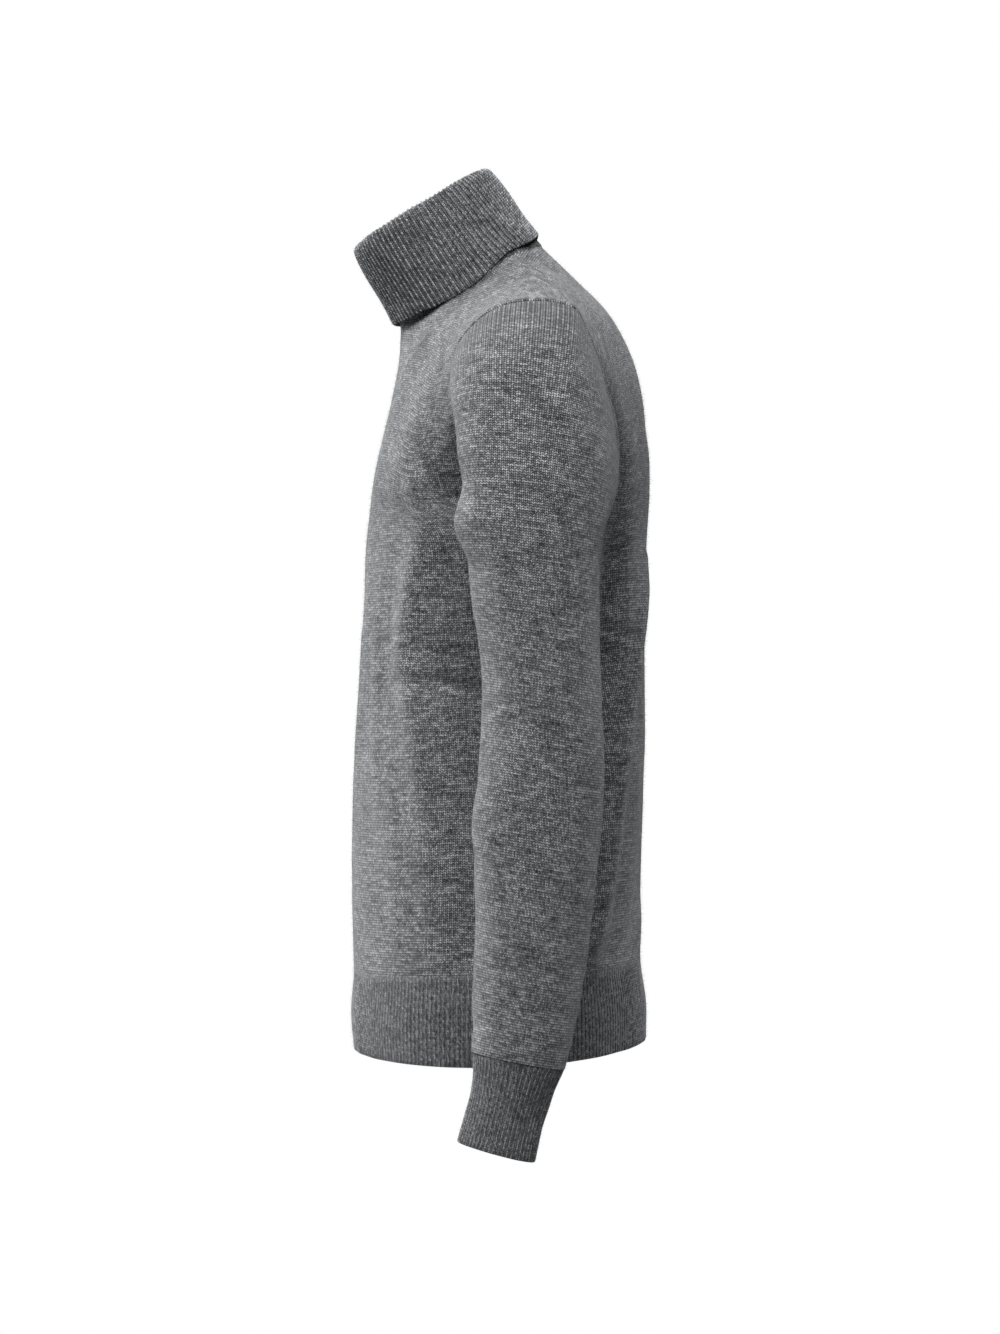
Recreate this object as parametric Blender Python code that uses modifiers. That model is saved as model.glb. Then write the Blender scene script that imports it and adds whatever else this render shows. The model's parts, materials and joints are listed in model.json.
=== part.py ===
# Turtleneck sweater in its worn shape with nobody in it: nine knitted pieces round an open hollow.
# Metres. The front faces -Y, +X is the wearer's left, +Z is up, and the origin is the middle of the neck seam.
import math
from collections import namedtuple

import bmesh
import bpy
import numpy as np

MM = 0.001

# Cloth
JERSEY_WALL = 0.0018
RIB_GROOVE_WALL = 0.0014
RIB_HEIGHT = 0.0009
SEAM_GAP = 0.0003
SEAM_SINK = 0.0007

# Neck seam: a flat ellipse that rises to the back
NECK_TILT = 25
NECK_HALF_DEPTH = 0.0672
NECK_HALF_WIDTH = 0.068
NECK_POINT = 125  # degrees round from the centre front, where the shoulder seam starts

# Hem, whose two edges rise a little to the back
HEM_SEAM_Z = -574 * MM
HEM_EDGE_Z = -643.5 * MM
HEM_RISE = 0.0375
HEM_MIDDLE_Y = 0.03
HEM_ARCH = 0.008  # how much higher the edge is at the front and the back than at the sides
HEM_HALF_DEPTH = 0.125

# Ribs, counted on the whole piece
HEM_RIBS = 120
CUFF_RIBS = 54
COLLAR_RIBS = 88
PLAIN_SHARE = 4  # rib points for each point of the plain inside

# Grid of the jersey pieces
NECK_STEPS = {"front": 5, "back": 3}  # grid columns from the centre to the neck point
SHOULDER_COLUMNS = 5
LOWER_ROWS = 8
UPPER_ROWS = 10
SLEEVE_ROWS = 12
CAP_ROWS = 6
ROW_CROWDING = 1.3  # above 1 crowds the upper rows towards the underarm
UNDERARM_Y = 46 * MM
EDGE_STRIP = 0.1  # of a table row: the narrow strip that dips into a seam
TOP_BLEND = 1.5  # table rows over which a panel's top comes to its neckline and shoulder seams

WOOL = (0.135, 0.138, 0.142, 1)

# Body below the underarm, one row for each level, in millimetres
Girth = namedtuple("Girth", "z front back half_width side")
GIRTHS = (
    Girth(-648, -95.5, 149.5, 184, 33),
    Girth(-610, -98.0, 149.0, 184, 33),
    Girth(-574, -95.5, 144.5, 181, 33),
    Girth(-520, -97.0, 144.0, 185, 33),
    Girth(-460, -95.4, 146.4, 186, 34),
    Girth(-400, -93.0, 148.2, 187, 36),
    Girth(-340, -90.0, 148.2, 189, 38),
    Girth(-280, -87.4, 148.0, 192, 42),
    Girth(-220, -84.8, 149.6, 195, 46),
)
BODY_GIRTHS = GIRTHS[2:]  # from the hem seam up
ROUNDNESS = 2.25  # exponent of the body's section: 2 is an ellipse
# Table columns as shares of the way from the centre to a side seam, and those that lie on the neckline
SHARES = {"front": (0, 0.24, 0.48, 0.73, 1), "back": (0, 0.29, 0.63, 1)}
NECK_COLUMNS = {"front": 2, "back": 1}

# Body above the underarm, one row for each level up to the neck and shoulder seams, (x, y, z) in millimetres
FrontLevel = namedtuple("FrontLevel", "centre side neck middle armhole")
FRONT_LEVELS = (
    FrontLevel((0, -79, -178), (66, -78, -177), (112, -69, -174.5), (155, -47, -174), (187, 19, -195)),
    FrontLevel((0, -71.5, -137), (71, -69.5, -136), (111, -59, -131), (151, -39, -128.5), (181.5, 3, -155)),
    FrontLevel((0, -63.5, -102), (75, -58.5, -98.5), (107, -43.5, -90), (148, -25.5, -87), (181, -9, -110)),
    FrontLevel((0, -58.5, -74), (76, -46.5, -64.5), (100, -22.5, -49.5), (146, -6.5, -50.5), (190, -8.5, -68)),
    FrontLevel((0, -57, -52), (69, -31.5, -40.5), (86, 2, -23), (141, 22, -24.5), (203, 18, -39)),
    FrontLevel((0, -57, -39), (61.5, -21.5, -24.5), (71, 24, 0), (135, 45, -11), (208, 50.5, -30.5)),
    FrontLevel((0, -60.9, -28.4), (60.3, -28.1, -13.1), (55.7, 34.9, 16.3), (130, 64.5, -6.5), (205, 84, -35)),
)
BackLevel = namedtuple("BackLevel", "centre neck middle armhole")
BACK_LEVELS = (
    BackLevel((0, 152, -178), (76, 148, -177), (142, 130, -178.5), (188, 101, -210)),
    BackLevel((0, 151, -140), (78, 147, -137), (144, 130, -137.5), (182, 120.5, -170.5)),
    BackLevel((0, 147, -103), (78, 141.5, -98.5), (143, 126, -101.5), (182, 120.5, -135)),
    BackLevel((0, 137, -65), (76, 131.5, -64.5), (141, 118, -69), (186, 113.5, -104.5)),
    BackLevel((0, 118, -29), (73, 112.5, -31), (138, 104, -39.5), (193, 105.5, -76)),
    BackLevel((0, 90, 0), (66, 76.5, 0), (134, 84.5, -18.5), (200, 95, -50.5)),
    BackLevel((0, 60.9, 28.4), (55.7, 34.9, 16.3), (130, 64.5, -6.5), (205, 84, -35)),
)
LEVELS = {"front": FRONT_LEVELS, "back": BACK_LEVELS}
# Shoulder seam from the neck point out to the armhole, millimetres
SHOULDER_SEAM = (
    (55.7, 34.9, 16.3),
    (62, 38, 12.5),
    (78, 45, 10),
    (103, 54, 3),
    (130, 64.5, -6.5),
    (168, 75, -20.5),
    (205, 84, -35),
)

# Where the sleeve's cloth heads as it leaves the underarm, the top of the armhole and, further down, its cap
LEAVE_UNDER = (0.5, 0, -0.87)
LEAVE_OVER = (0.94, 0, -0.35)
LEAVE_SPREAD = 0.12
REACH = (0.06, 0, -1)
REACH_SPREAD = 0.16
CAP_PULL = 1.15
CAP_STRIP = 0.04

# Left sleeve below the underarm, one row for each ring, millimetres; lean is the ring's slope in degrees
Ring = namedtuple("Ring", "x y z half_width half_depth lean")
SLEEVE_RINGS = (
    Ring(250, 53.4, -239, 46.5, 53.0, 0),
    Ring(253, 57.2, -300, 45.0, 48.6, 0),
    Ring(254.5, 59.3, -361, 43.5, 47.2, 0),
    Ring(255, 57.6, -422, 42.5, 49.2, 1),
    Ring(254, 55.4, -483, 41.5, 48.6, 2),
    Ring(252, 51.5, -545, 39.5, 44.5, 4),
    Ring(249, 46.4, -601, 38.0, 41.9, 7),
    Ring(247, 41.3, -637, 35.5, 37.8, 11),
)
CUFF_RINGS = (
    Ring(247, 41.3, -637, 35.0, 37.2, 11),
    Ring(246, 36.4, -660, 31.4, 32.6, 13),
    Ring(244.5, 30.4, -684, 30.4, 31.4, 14),
    Ring(243, 24.0, -709.5, 31.0, 32.4, 15),
)
RIGHT_SWING = 0.028  # how far back the right arm hangs for each metre below the underarm

# Collar, one row for each ring of its outside: up the neck, over the fold and down the turned layer
CollarRing = namedtuple("CollarRing", "y z half_width half_depth tilt drop")
COLLAR_RINGS = (
    CollarRing(0, 0, 65.2, 64.6, 25, 0),
    CollarRing(-17.5, 28, 59.6, 58.4, 27, 0),
    CollarRing(-36.5, 54, 57.4, 58.0, 30.5, 0),
    CollarRing(-39.8, 60.4, 61.0, 61.4, 31, 0),
    CollarRing(-38.2, 57.2, 65.4, 66.4, 30.5, 0.05),
    CollarRing(-28.5, 42.0, 68.6, 69.0, 29.5, 0.2),
    CollarRing(-13.5, 18.5, 71.4, 70.4, 30, 0.6),
    CollarRing(-2.2, 1.2, 75.4, 72.2, 32, 1),
)
COLLAR_PLACES = (0, 1, 1.8, 2.5, 3, 3.5, 4.2, 5, 6, 7)  # rings built, as fractional rows of the table
# How far the turned layer's edge drops below its flat ring, by degrees round from the centre front
Drop = namedtuple("Drop", "angle millimetres")
COLLAR_DROPS = (
    Drop(0, 0),
    Drop(48, 6.4),
    Drop(70, 11),
    Drop(91, 11.5),
    Drop(110, 7),
    Drop(125, 3),
    Drop(147, 4.5),
    Drop(180, 0),
)

# Broad folds, as ridges (height above 0) or troughs; across is the share of the way from the centre to the side seam
HALF_SPREAD = 0.25  # metres from the centre to a side seam
Fold = namedtuple("Fold", "across z to_across to_z height width")
FRONT_FOLDS = (
    Fold(0.88, -0.19, 0.78, -0.33, -0.005, 0.030),
    Fold(0.28, -0.28, 0.20, -0.42, 0.0025, 0.030),
    Fold(-0.86, -0.19, -0.74, -0.35, -0.005, 0.032),
    Fold(-0.34, -0.30, -0.24, -0.45, 0.0025, 0.032),
)
BACK_FOLDS = (
    Fold(0.30, -0.27, 0.68, -0.56, 0.006, 0.032),
    Fold(0.66, -0.26, 0.92, -0.50, -0.005, 0.034),
    Fold(-0.34, -0.26, -0.66, -0.55, 0.005, 0.034),
    Fold(-0.70, -0.28, -0.94, -0.52, -0.005, 0.032),
)
FOLDS = {"front": FRONT_FOLDS, "back": BACK_FOLDS}
# Soft bulges of a sleeve; around is the share of the way round from its inner side, by the front
Bulge = namedtuple("Bulge", "around z height around_width z_width")
SLEEVE_BULGES = (
    Bulge(0.25, -0.212, 0.0055, 0.13, 0.022),
    Bulge(0.25, -0.452, 0.0030, 0.12, 0.030),
    Bulge(0.36, -0.335, -0.0025, 0.12, 0.035),
    Bulge(0.70, -0.400, 0.0030, 0.14, 0.060),
)


def along(rows, places):
    # A Catmull-Rom curve through the rows, read at fractional row numbers.
    rows = np.asarray(rows, float)
    last = len(rows) - 1
    ends = np.concatenate([[2 * rows[0] - rows[1]], rows, [2 * rows[-1] - rows[-2]]])
    places = np.clip(np.atleast_1d(np.asarray(places, float)), 0, last)
    base = np.minimum(places.astype(int), last - 1)
    part = (places - base).reshape((-1,) + (1,) * (rows.ndim - 1))
    before, start, end, after = (ends[base + step] for step in range(4))
    bend = before - 2.5 * start + 2 * end - 0.5 * after
    twist = 1.5 * (start - end) + 0.5 * (after - before)
    return start + part * (end - before) / 2 + part**2 * bend + part**3 * twist


def unit(vectors):
    return vectors / np.linalg.norm(vectors, axis=-1, keepdims=True)


def lengths(points):
    # Distance travelled at each point of a curve.
    steps = np.linalg.norm(np.diff(points, axis=0), axis=1)
    return np.concatenate([[0], np.cumsum(steps)])


def at_shares(points, shares):
    # The points of a curve at shares of its length.
    travelled = lengths(points)
    wanted = np.asarray(shares) * travelled[-1]
    return np.stack([np.interp(wanted, travelled, points[:, axis]) for axis in range(3)], axis=1)


def smooth_step(value):
    value = np.clip(value, 0, 1)
    return value * value * (3 - 2 * value)


def grid_normals(points, closed=False):
    # Outward normals of a grid whose columns run round to the left of its rows.
    if closed:
        across = np.roll(points, -1, axis=1) - np.roll(points, 1, axis=1)
    else:
        across = np.gradient(points, axis=1)
    return unit(np.cross(across, np.gradient(points, axis=0)))


def girth_at(z):
    places = np.interp(z / MM, [row.z for row in GIRTHS], range(len(GIRTHS)))
    return Girth(*(along(GIRTHS, places)[0] * MM))


def body_section(z, across, facing):
    # Points at signed shares of the way from the centre front (or back) to the side seams at one level.
    girth = girth_at(z)
    turn = np.linspace(0, math.pi / 2, 80)
    reach = (girth.front if facing == "front" else girth.back) - girth.side
    x = girth.half_width * np.sin(turn) ** (2 / ROUNDNESS)
    y = girth.side + reach * np.cos(turn).clip(0) ** (2 / ROUNDNESS)
    points = at_shares(np.stack([x, y, np.full_like(x, z)], axis=1), np.abs(across))
    points[:, 0] *= np.sign(across)
    return points


def hem_tilt(points, weight):
    moved = points.copy()
    moved[..., 2] += weight * HEM_RISE * (points[..., 1] - HEM_MIDDLE_Y)
    return moved


def ring_point(degrees, y, z, half_width, half_depth, tilt):
    # Points of an ellipse that rises to the back by tilt, at degrees round from the centre front.
    angle = np.radians(degrees)
    forward = -half_depth * np.cos(angle)
    slope = math.radians(tilt)
    return np.stack(
        [half_width * np.sin(angle), y + forward * math.cos(slope), z + forward * math.sin(slope)],
        axis=-1,
    )


def neck_point(degrees):
    return ring_point(degrees, 0, 0, NECK_HALF_WIDTH, NECK_HALF_DEPTH, NECK_TILT)


def top_edge(facing, places):
    # The panel's top edge at signed column numbers: the neckline, then the shoulder seam on each side.
    neck_columns = NECK_COLUMNS[facing]
    last = len(SHARES[facing]) - 1
    start = 0 if facing == "front" else 180
    seam = np.array(SHOULDER_SEAM) * MM
    seam_line = along(seam, np.linspace(0, len(seam) - 1, 60))
    points = []
    for place in places:
        column = abs(place)
        if column <= neck_columns:
            point = neck_point(start + (NECK_POINT - start) * column / neck_columns)
        else:
            point = at_shares(seam_line, [(column - neck_columns) / (last - neck_columns)])[0]
        points.append(point * (math.copysign(1, place), 1, 1))
    return np.array(points)


def push_folds(points, normals, across, folds):
    # Moves a panel's points along its normals by every fold, with soft ends and sides.
    height = np.zeros(points.shape[:2])
    for fold in folds:
        start = np.array([fold.across * HALF_SPREAD, fold.z])
        run = np.array([fold.to_across * HALF_SPREAD, fold.to_z]) - start
        place = np.stack([across * HALF_SPREAD, points[..., 2]], axis=-1) - start
        share = (place @ run) / (run @ run)
        off = np.linalg.norm(place - np.clip(share, 0, 1)[..., None] * run, axis=-1)
        height += fold.height * np.exp(-((off / fold.width) ** 2))
    return points + normals * height[..., None]


def panel_columns(facing):
    # Signed column numbers of the panel's grid, with a narrow strip at each side seam.
    neck_columns = NECK_COLUMNS[facing]
    last = len(SHARES[facing]) - 1
    neck = np.linspace(0, neck_columns, NECK_STEPS[facing] + 1)
    shoulder = np.linspace(neck_columns, last, SHOULDER_COLUMNS + 1)[1:]
    half = np.concatenate([neck, shoulder[:-1], [last - EDGE_STRIP, last]])
    return np.concatenate([-half[:0:-1], half])


def panel_rows():
    lower_last = len(BODY_GIRTHS) - 1
    top = lower_last + len(FRONT_LEVELS)
    lower = np.linspace(0, lower_last, LOWER_ROWS + 1)
    upper = lower_last + (top - lower_last) * np.linspace(0, 1, UPPER_ROWS + 1)[1:] ** ROW_CROWDING
    return np.concatenate([[0, EDGE_STRIP], lower[1:], upper[:-1], [top - 1.5 * EDGE_STRIP, top]])


def beyond_top(net, places, facing):
    # A level past the top edge, which sets the panel's slope there: the other panel's own level beyond the
    # shoulder seam, and a straight run on beyond the neckline.
    others = np.array(LEVELS["front" if facing == "back" else "back"][-2]) * MM
    other = along(others, np.abs(places) - len(SHARES[facing]) + len(others))
    other[:, 0] *= np.sign(places)
    straight = 2 * net[-1] - net[-2]
    return np.where(np.abs(places)[:, None] < NECK_COLUMNS[facing], straight, other)


def body_panel(facing):
    # The panel's outer face as a grid of points: rows from the hem seam up, columns to the wearer's left
    # on the front and to the right on the back. Also gives each point's share of the way to its side seam.
    last = len(SHARES[facing]) - 1
    places = panel_columns(facing)
    across = np.interp(np.abs(places), range(last + 1), SHARES[facing]) * np.sign(places)
    net = []
    for row in BODY_GIRTHS:
        section = body_section(row.z * MM, across, facing)
        net.append(hem_tilt(section, float(row is BODY_GIRTHS[0])))
    for level in LEVELS[facing]:
        left = np.array(level) * MM
        net.append(along(np.concatenate([left[:0:-1] * (-1, 1, 1), left]), places + last))
    net.append(beyond_top(net, places, facing))
    rows = panel_rows()
    points = along(net, rows)
    close = smooth_step((rows - rows[-1]) / TOP_BLEND + 1)[:, None, None]
    points = points + close * (top_edge(facing, places) - points[-1])
    across = np.broadcast_to(across, points.shape[:2])
    if facing == "back":
        points = points[:, ::-1]
        across = across[:, ::-1]
    normals = grid_normals(points)
    points = push_folds(points, normals, across, FOLDS[facing])
    shoulders = np.flatnonzero(np.abs(places) > NECK_COLUMNS[facing])
    for edge in (np.s_[:, 0], np.s_[:, -1], np.s_[0, 1:-1], np.s_[-1, shoulders[1:-1]]):
        points[edge] -= SEAM_SINK * normals[edge]
    return points


def share_side_seams(front, back):
    # Both panels meet on one line: the side seam, then the start and the end of each armhole.
    seam_rows = LOWER_ROWS + 2
    for front_edge, back_edge in ((0, -1), (-1, 0)):
        middle = (front[:seam_rows, front_edge] + back[:seam_rows, back_edge]) / 2
        front[:seam_rows, front_edge] = middle
        back[:seam_rows, back_edge] = middle
        top = (front[-1, front_edge] + back[-1, back_edge]) / 2
        front[-1, front_edge] = top
        back[-1, back_edge] = top


def parted(points, rows=(True, True), columns=(True, True)):
    # Draws the edges of a grid in by half a seam gap.
    moved = points.copy()
    for wanted, edge, beside in (
        (rows[0], np.s_[0], np.s_[1]),
        (rows[1], np.s_[-1], np.s_[-2]),
        (columns[0], np.s_[:, 0], np.s_[:, 1]),
        (columns[1], np.s_[:, -1], np.s_[:, -2]),
    ):
        if wanted:
            moved[edge] += unit(points[beside] - points[edge]) * SEAM_GAP / 2
    return moved


def ring_of(ring, shares):
    # Points of a sleeve ring at shares of the way round: inner side, front, outer side, back.
    angle = 2 * math.pi * np.asarray(shares)
    lean = math.radians(ring.lean)
    backward = -ring.half_depth * np.sin(angle)
    return MM * np.stack(
        [
            ring.x - ring.half_width * np.cos(angle),
            ring.y + backward * math.cos(lean),
            ring.z - backward * math.sin(lean),
        ],
        axis=1,
    )


def armhole(front, back):
    # The left armhole as a closed line: up the front from the underarm, then down the back.
    first = LOWER_ROWS + 1
    return np.concatenate([front[first:, -1], back[-2:first:-1, 0]])


def sleeve(ring):
    # The left sleeve's outer face from the armhole down: a cap that turns out and down, then the rings.
    travelled = lengths(np.concatenate([ring, ring[:1]]))
    shares = travelled[:-1] / travelled[-1]
    angle = 2 * math.pi * shares
    outer = (1 - np.cos(angle)) / 2
    below = ring_of(SLEEVE_RINGS[0], shares)
    sideways = np.sin(angle)[:, None] * (0, 1, 0)
    leave = LEAVE_UNDER + outer[:, None] * np.subtract(LEAVE_OVER, LEAVE_UNDER)
    leave = unit(leave - LEAVE_SPREAD * sideways)
    arrive = unit(REACH + REACH_SPREAD * sideways)
    pull = np.linalg.norm(below - ring, axis=1)[:, None] * CAP_PULL
    cap = []
    for t in (0, CAP_STRIP, *np.linspace(0, 1, CAP_ROWS + 1)[1:]):
        start = (2 * t**3 - 3 * t**2 + 1) * ring + (t**3 - 2 * t**2 + t) * pull * leave
        cap.append(start + (3 * t**2 - 2 * t**3) * below + (t**3 - t**2) * pull * arrive)
    rings = np.array([ring_of(row, shares) for row in SLEEVE_RINGS])
    places = np.linspace(0, len(rings) - 1, SLEEVE_ROWS + 1)[1:]
    lower = along(rings, [*places[:-1], places[-1] - EDGE_STRIP, places[-1]])
    points = np.concatenate([cap, lower])[::-1]
    normals = grid_normals(points, closed=True)
    height = np.zeros(points.shape[:2])
    for bulge in SLEEVE_BULGES:
        off = (shares - bulge.around) / bulge.around_width
        rise = (points[..., 2] - bulge.z) / bulge.z_width
        height += bulge.height * np.exp(-(off**2) - rise**2)
    height[0] = -SEAM_SINK
    height[-1] = 0
    points += normals * height[..., None]
    outward = unit((ring - (0, UNDERARM_Y, 0)) * (1, 1, 0))
    points[-1] += unit(leave + 2 * outward) * 1.5 * SEAM_GAP
    points[0] += unit(points[1] - points[0]) * SEAM_GAP / 2
    return points


def collar_drop(degrees):
    turned = np.abs((degrees + 180) % 360 - 180)
    places = np.interp(turned, [row.angle for row in COLLAR_DROPS], range(len(COLLAR_DROPS)))
    return along(COLLAR_DROPS, places)[:, 1] * MM


def collar_face(degrees):
    rows = []
    for ring in COLLAR_RINGS:
        y, z, half_width, half_depth = (value * MM for value in ring[:4])
        slope = math.radians(ring.tilt)
        down = np.array([0, math.sin(slope), -math.cos(slope)])
        points = ring_point(degrees, y, z, half_width, half_depth, ring.tilt)
        rows.append(points + ring.drop * collar_drop(degrees)[:, None] * down)
    return np.array(rows)


def collar_rows(degrees):
    rows = along(collar_face(degrees), COLLAR_PLACES)
    slope = math.radians(NECK_TILT)
    rows[0] += SEAM_GAP * np.array([0, -math.sin(slope), math.cos(slope)])
    return rows


def hem_face(facing, shares):
    # Rows from the edge up to the seam; the shares run from the centre to a side seam.
    rows = []
    for z in np.linspace(HEM_EDGE_Z, HEM_SEAM_Z, 3):
        row = hem_tilt(body_section(z, shares, facing), 1)
        arch = HEM_ARCH * (((row[:, 1] - HEM_MIDDLE_Y) / HEM_HALF_DEPTH) ** 2 - 0.44)
        row[:, 2] += arch * (z - HEM_SEAM_Z) / (HEM_EDGE_Z - HEM_SEAM_Z)
        rows.append(row)
    points = np.array(rows)
    if facing == "back":
        points = points[:, ::-1]
    normals = grid_normals(points)
    points[-1] -= SEAM_SINK * normals[-1]
    return parted(points, rows=(False, True))


def rib_profile(count, closed):
    # Height over the groove at each of two points a rib.
    return RIB_HEIGHT * (np.arange(2 * count + (0 if closed else 1)) % 2)


def ribbed_wall(outside, ribs, closed):
    # A wall with ribs raised on its outside over a plain inside, as points and faces.
    normals = grid_normals(outside, closed)
    ridges = outside - normals * (RIB_HEIGHT - rib_profile(ribs, closed))[None, :, None]
    plain = (outside - normals * (RIB_HEIGHT + RIB_GROOVE_WALL))[:, ::PLAIN_SHARE]
    rows, fine = ridges.shape[:2]
    coarse = plain.shape[1]
    faces = []

    def fine_at(row, column):
        return row * fine + column % fine

    def coarse_at(row, column):
        return rows * fine + row * coarse + column % coarse

    fine_steps = fine if closed else fine - 1
    coarse_steps = coarse if closed else coarse - 1
    for row in range(rows - 1):
        for column in range(fine_steps):
            faces.append(
                (
                    fine_at(row, column),
                    fine_at(row, column + 1),
                    fine_at(row + 1, column + 1),
                    fine_at(row + 1, column),
                )
            )
        for column in range(coarse_steps):
            faces.append(
                (
                    coarse_at(row, column + 1),
                    coarse_at(row, column),
                    coarse_at(row + 1, column),
                    coarse_at(row + 1, column + 1),
                )
            )
    for column in range(coarse_steps):
        first = column * PLAIN_SHARE
        fan = range(first, first + PLAIN_SHARE + 1)
        under = [fine_at(0, step) for step in reversed(fan)]
        over = [fine_at(rows - 1, step) for step in fan]
        faces.append((*under, coarse_at(0, column), coarse_at(0, column + 1)))
        faces.append((*over, coarse_at(rows - 1, column + 1), coarse_at(rows - 1, column)))
    if not closed:
        for row in range(rows - 1):
            faces.append(
                (fine_at(row + 1, 0), coarse_at(row + 1, 0), coarse_at(row, 0), fine_at(row, 0))
            )
            end = (fine - 1, coarse - 1)
            faces.append(
                (
                    fine_at(row, end[0]),
                    coarse_at(row, end[1]),
                    coarse_at(row + 1, end[1]),
                    fine_at(row + 1, end[0]),
                )
            )
    return np.concatenate([ridges.reshape(-1, 3), plain.reshape(-1, 3)]), faces


def knit_material(name, colour, roughness):
    material = bpy.data.materials.new(name)
    material.use_nodes = True
    shader = material.node_tree.nodes["Principled BSDF"]
    shader.inputs["Base Color"].default_value = colour
    shader.inputs["Roughness"].default_value = roughness
    shader.inputs["Metallic"].default_value = 0
    return material


def add_object(name, mesh, collection, roughness):
    mesh.materials.append(knit_material(name + "_knit", WOOL, roughness))
    mesh.shade_smooth()
    mesh.set_sharp_from_angle(angle=math.radians(40))
    obj = bpy.data.objects.new(name, mesh)
    collection.objects.link(obj)
    return obj


def add_jersey(name, points, collection, closed=False):
    # A grid laid on the points, welded round if closed, and thickened inwards.
    if closed:
        points = np.concatenate([points, points[:, :1]], axis=1)
    rows, columns = points.shape[:2]
    bm = bmesh.new()
    bmesh.ops.create_grid(bm, x_segments=columns - 1, y_segments=rows - 1, size=0.5)
    for vert in bm.verts:
        row = round((vert.co.y + 0.5) * (rows - 1))
        column = round((vert.co.x + 0.5) * (columns - 1))
        vert.co = points[row, column]
    if closed:
        bmesh.ops.remove_doubles(bm, verts=bm.verts[:], dist=1e-6)
    mesh = bpy.data.meshes.new(name)
    bm.to_mesh(mesh)
    bm.free()
    obj = add_object(name, mesh, collection, 0.92)
    wall = obj.modifiers.new("Wall", "SOLIDIFY")
    wall.thickness = JERSEY_WALL
    wall.offset = -1


def add_rib(name, outside, ribs, closed, collection):
    points, faces = ribbed_wall(outside, ribs, closed)
    mesh = bpy.data.meshes.new(name)
    mesh.from_pydata(points.tolist(), [], faces)
    add_object(name, mesh, collection, 0.95)


def mirrored(points):
    # The same piece on the wearer's other side, with its columns turned to keep the outside out.
    return points[:, ::-1] * (-1, 1, 1)


def right_arm(points):
    # A left arm's piece as the right one, which hangs a little further back.
    moved = mirrored(points)
    moved[..., 1] += RIGHT_SWING * (SLEEVE_RINGS[0].z * MM - moved[..., 2]).clip(0)
    return moved


def main():
    for obj in list(bpy.data.objects):
        bpy.data.objects.remove(obj, do_unlink=True)
    sweater = bpy.data.collections.new("turtleneck_sweater")
    bpy.context.scene.collection.children.link(sweater)

    front = body_panel("front")
    back = body_panel("back")
    share_side_seams(front, back)
    left_sleeve = sleeve(armhole(front, back))
    right_sleeve = right_arm(sleeve(armhole(mirrored(front), mirrored(back))))
    add_jersey("front_panel", parted(front), sweater)
    add_jersey("back_panel", parted(back), sweater)
    add_jersey("left_sleeve", left_sleeve, sweater, closed=True)
    add_jersey("right_sleeve", right_sleeve, sweater, closed=True)

    hem_shares = np.linspace(-1, 1, 2 * HEM_RIBS + 1)
    for facing in ("front", "back"):
        add_rib(facing + "_hem_rib", hem_face(facing, hem_shares), HEM_RIBS, False, sweater)

    cuff_shares = np.arange(2 * CUFF_RIBS) / (2 * CUFF_RIBS)
    left_cuff = np.array([ring_of(row, cuff_shares) for row in CUFF_RINGS])[::-1]
    left_cuff[-1] += unit(left_cuff[-2] - left_cuff[-1]) * SEAM_GAP / 2
    add_rib("left_cuff", left_cuff, CUFF_RIBS, True, sweater)
    add_rib("right_cuff", right_arm(left_cuff), CUFF_RIBS, True, sweater)

    degrees = 360 * np.arange(2 * COLLAR_RIBS) / (2 * COLLAR_RIBS)
    collar = collar_rows(degrees)[::-1]
    add_rib("collar", collar, COLLAR_RIBS, True, sweater)


main()
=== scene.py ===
import json
import math

import bpy
import numpy as np
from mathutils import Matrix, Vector, noise

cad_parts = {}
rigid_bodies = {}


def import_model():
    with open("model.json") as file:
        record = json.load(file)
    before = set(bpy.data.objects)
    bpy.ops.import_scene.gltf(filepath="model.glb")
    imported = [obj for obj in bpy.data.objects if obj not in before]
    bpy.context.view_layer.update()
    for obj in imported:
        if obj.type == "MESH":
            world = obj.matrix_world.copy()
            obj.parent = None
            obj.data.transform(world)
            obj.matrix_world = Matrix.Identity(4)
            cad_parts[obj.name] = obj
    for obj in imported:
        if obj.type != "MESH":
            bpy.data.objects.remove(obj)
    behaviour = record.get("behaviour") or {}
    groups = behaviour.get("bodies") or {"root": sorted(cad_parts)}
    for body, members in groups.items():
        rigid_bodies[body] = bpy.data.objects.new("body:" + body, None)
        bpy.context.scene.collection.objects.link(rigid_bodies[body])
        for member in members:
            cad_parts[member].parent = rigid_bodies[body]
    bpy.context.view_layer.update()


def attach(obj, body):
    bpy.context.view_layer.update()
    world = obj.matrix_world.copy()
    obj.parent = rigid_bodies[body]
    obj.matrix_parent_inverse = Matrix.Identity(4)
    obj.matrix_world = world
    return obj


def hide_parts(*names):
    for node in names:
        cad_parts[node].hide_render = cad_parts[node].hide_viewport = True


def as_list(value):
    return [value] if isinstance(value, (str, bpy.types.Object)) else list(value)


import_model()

mm = 0.001


def along(rows, places):
    # a smooth curve through the rows, read at fractional row numbers
    rows = np.asarray(rows, float)
    last = len(rows) - 1
    ends = np.concatenate([[2 * rows[0] - rows[1]], rows, [2 * rows[-1] - rows[-2]]])
    places = np.clip(np.atleast_1d(np.asarray(places, float)), 0, last)
    base = np.minimum(places.astype(int), last - 1)
    part = (places - base).reshape((-1,) + (1,) * (rows.ndim - 1))
    before, start, end, after = (ends[base + step] for step in range(4))
    bend = before - 2.5 * start + 2 * end - 0.5 * after
    twist = 1.5 * (start - end) + 0.5 * (after - before)
    return start + part * (end - before) / 2 + part**2 * bend + part**3 * twist


def unit(vectors):
    return vectors / np.linalg.norm(vectors, axis=-1, keepdims=True)


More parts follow.
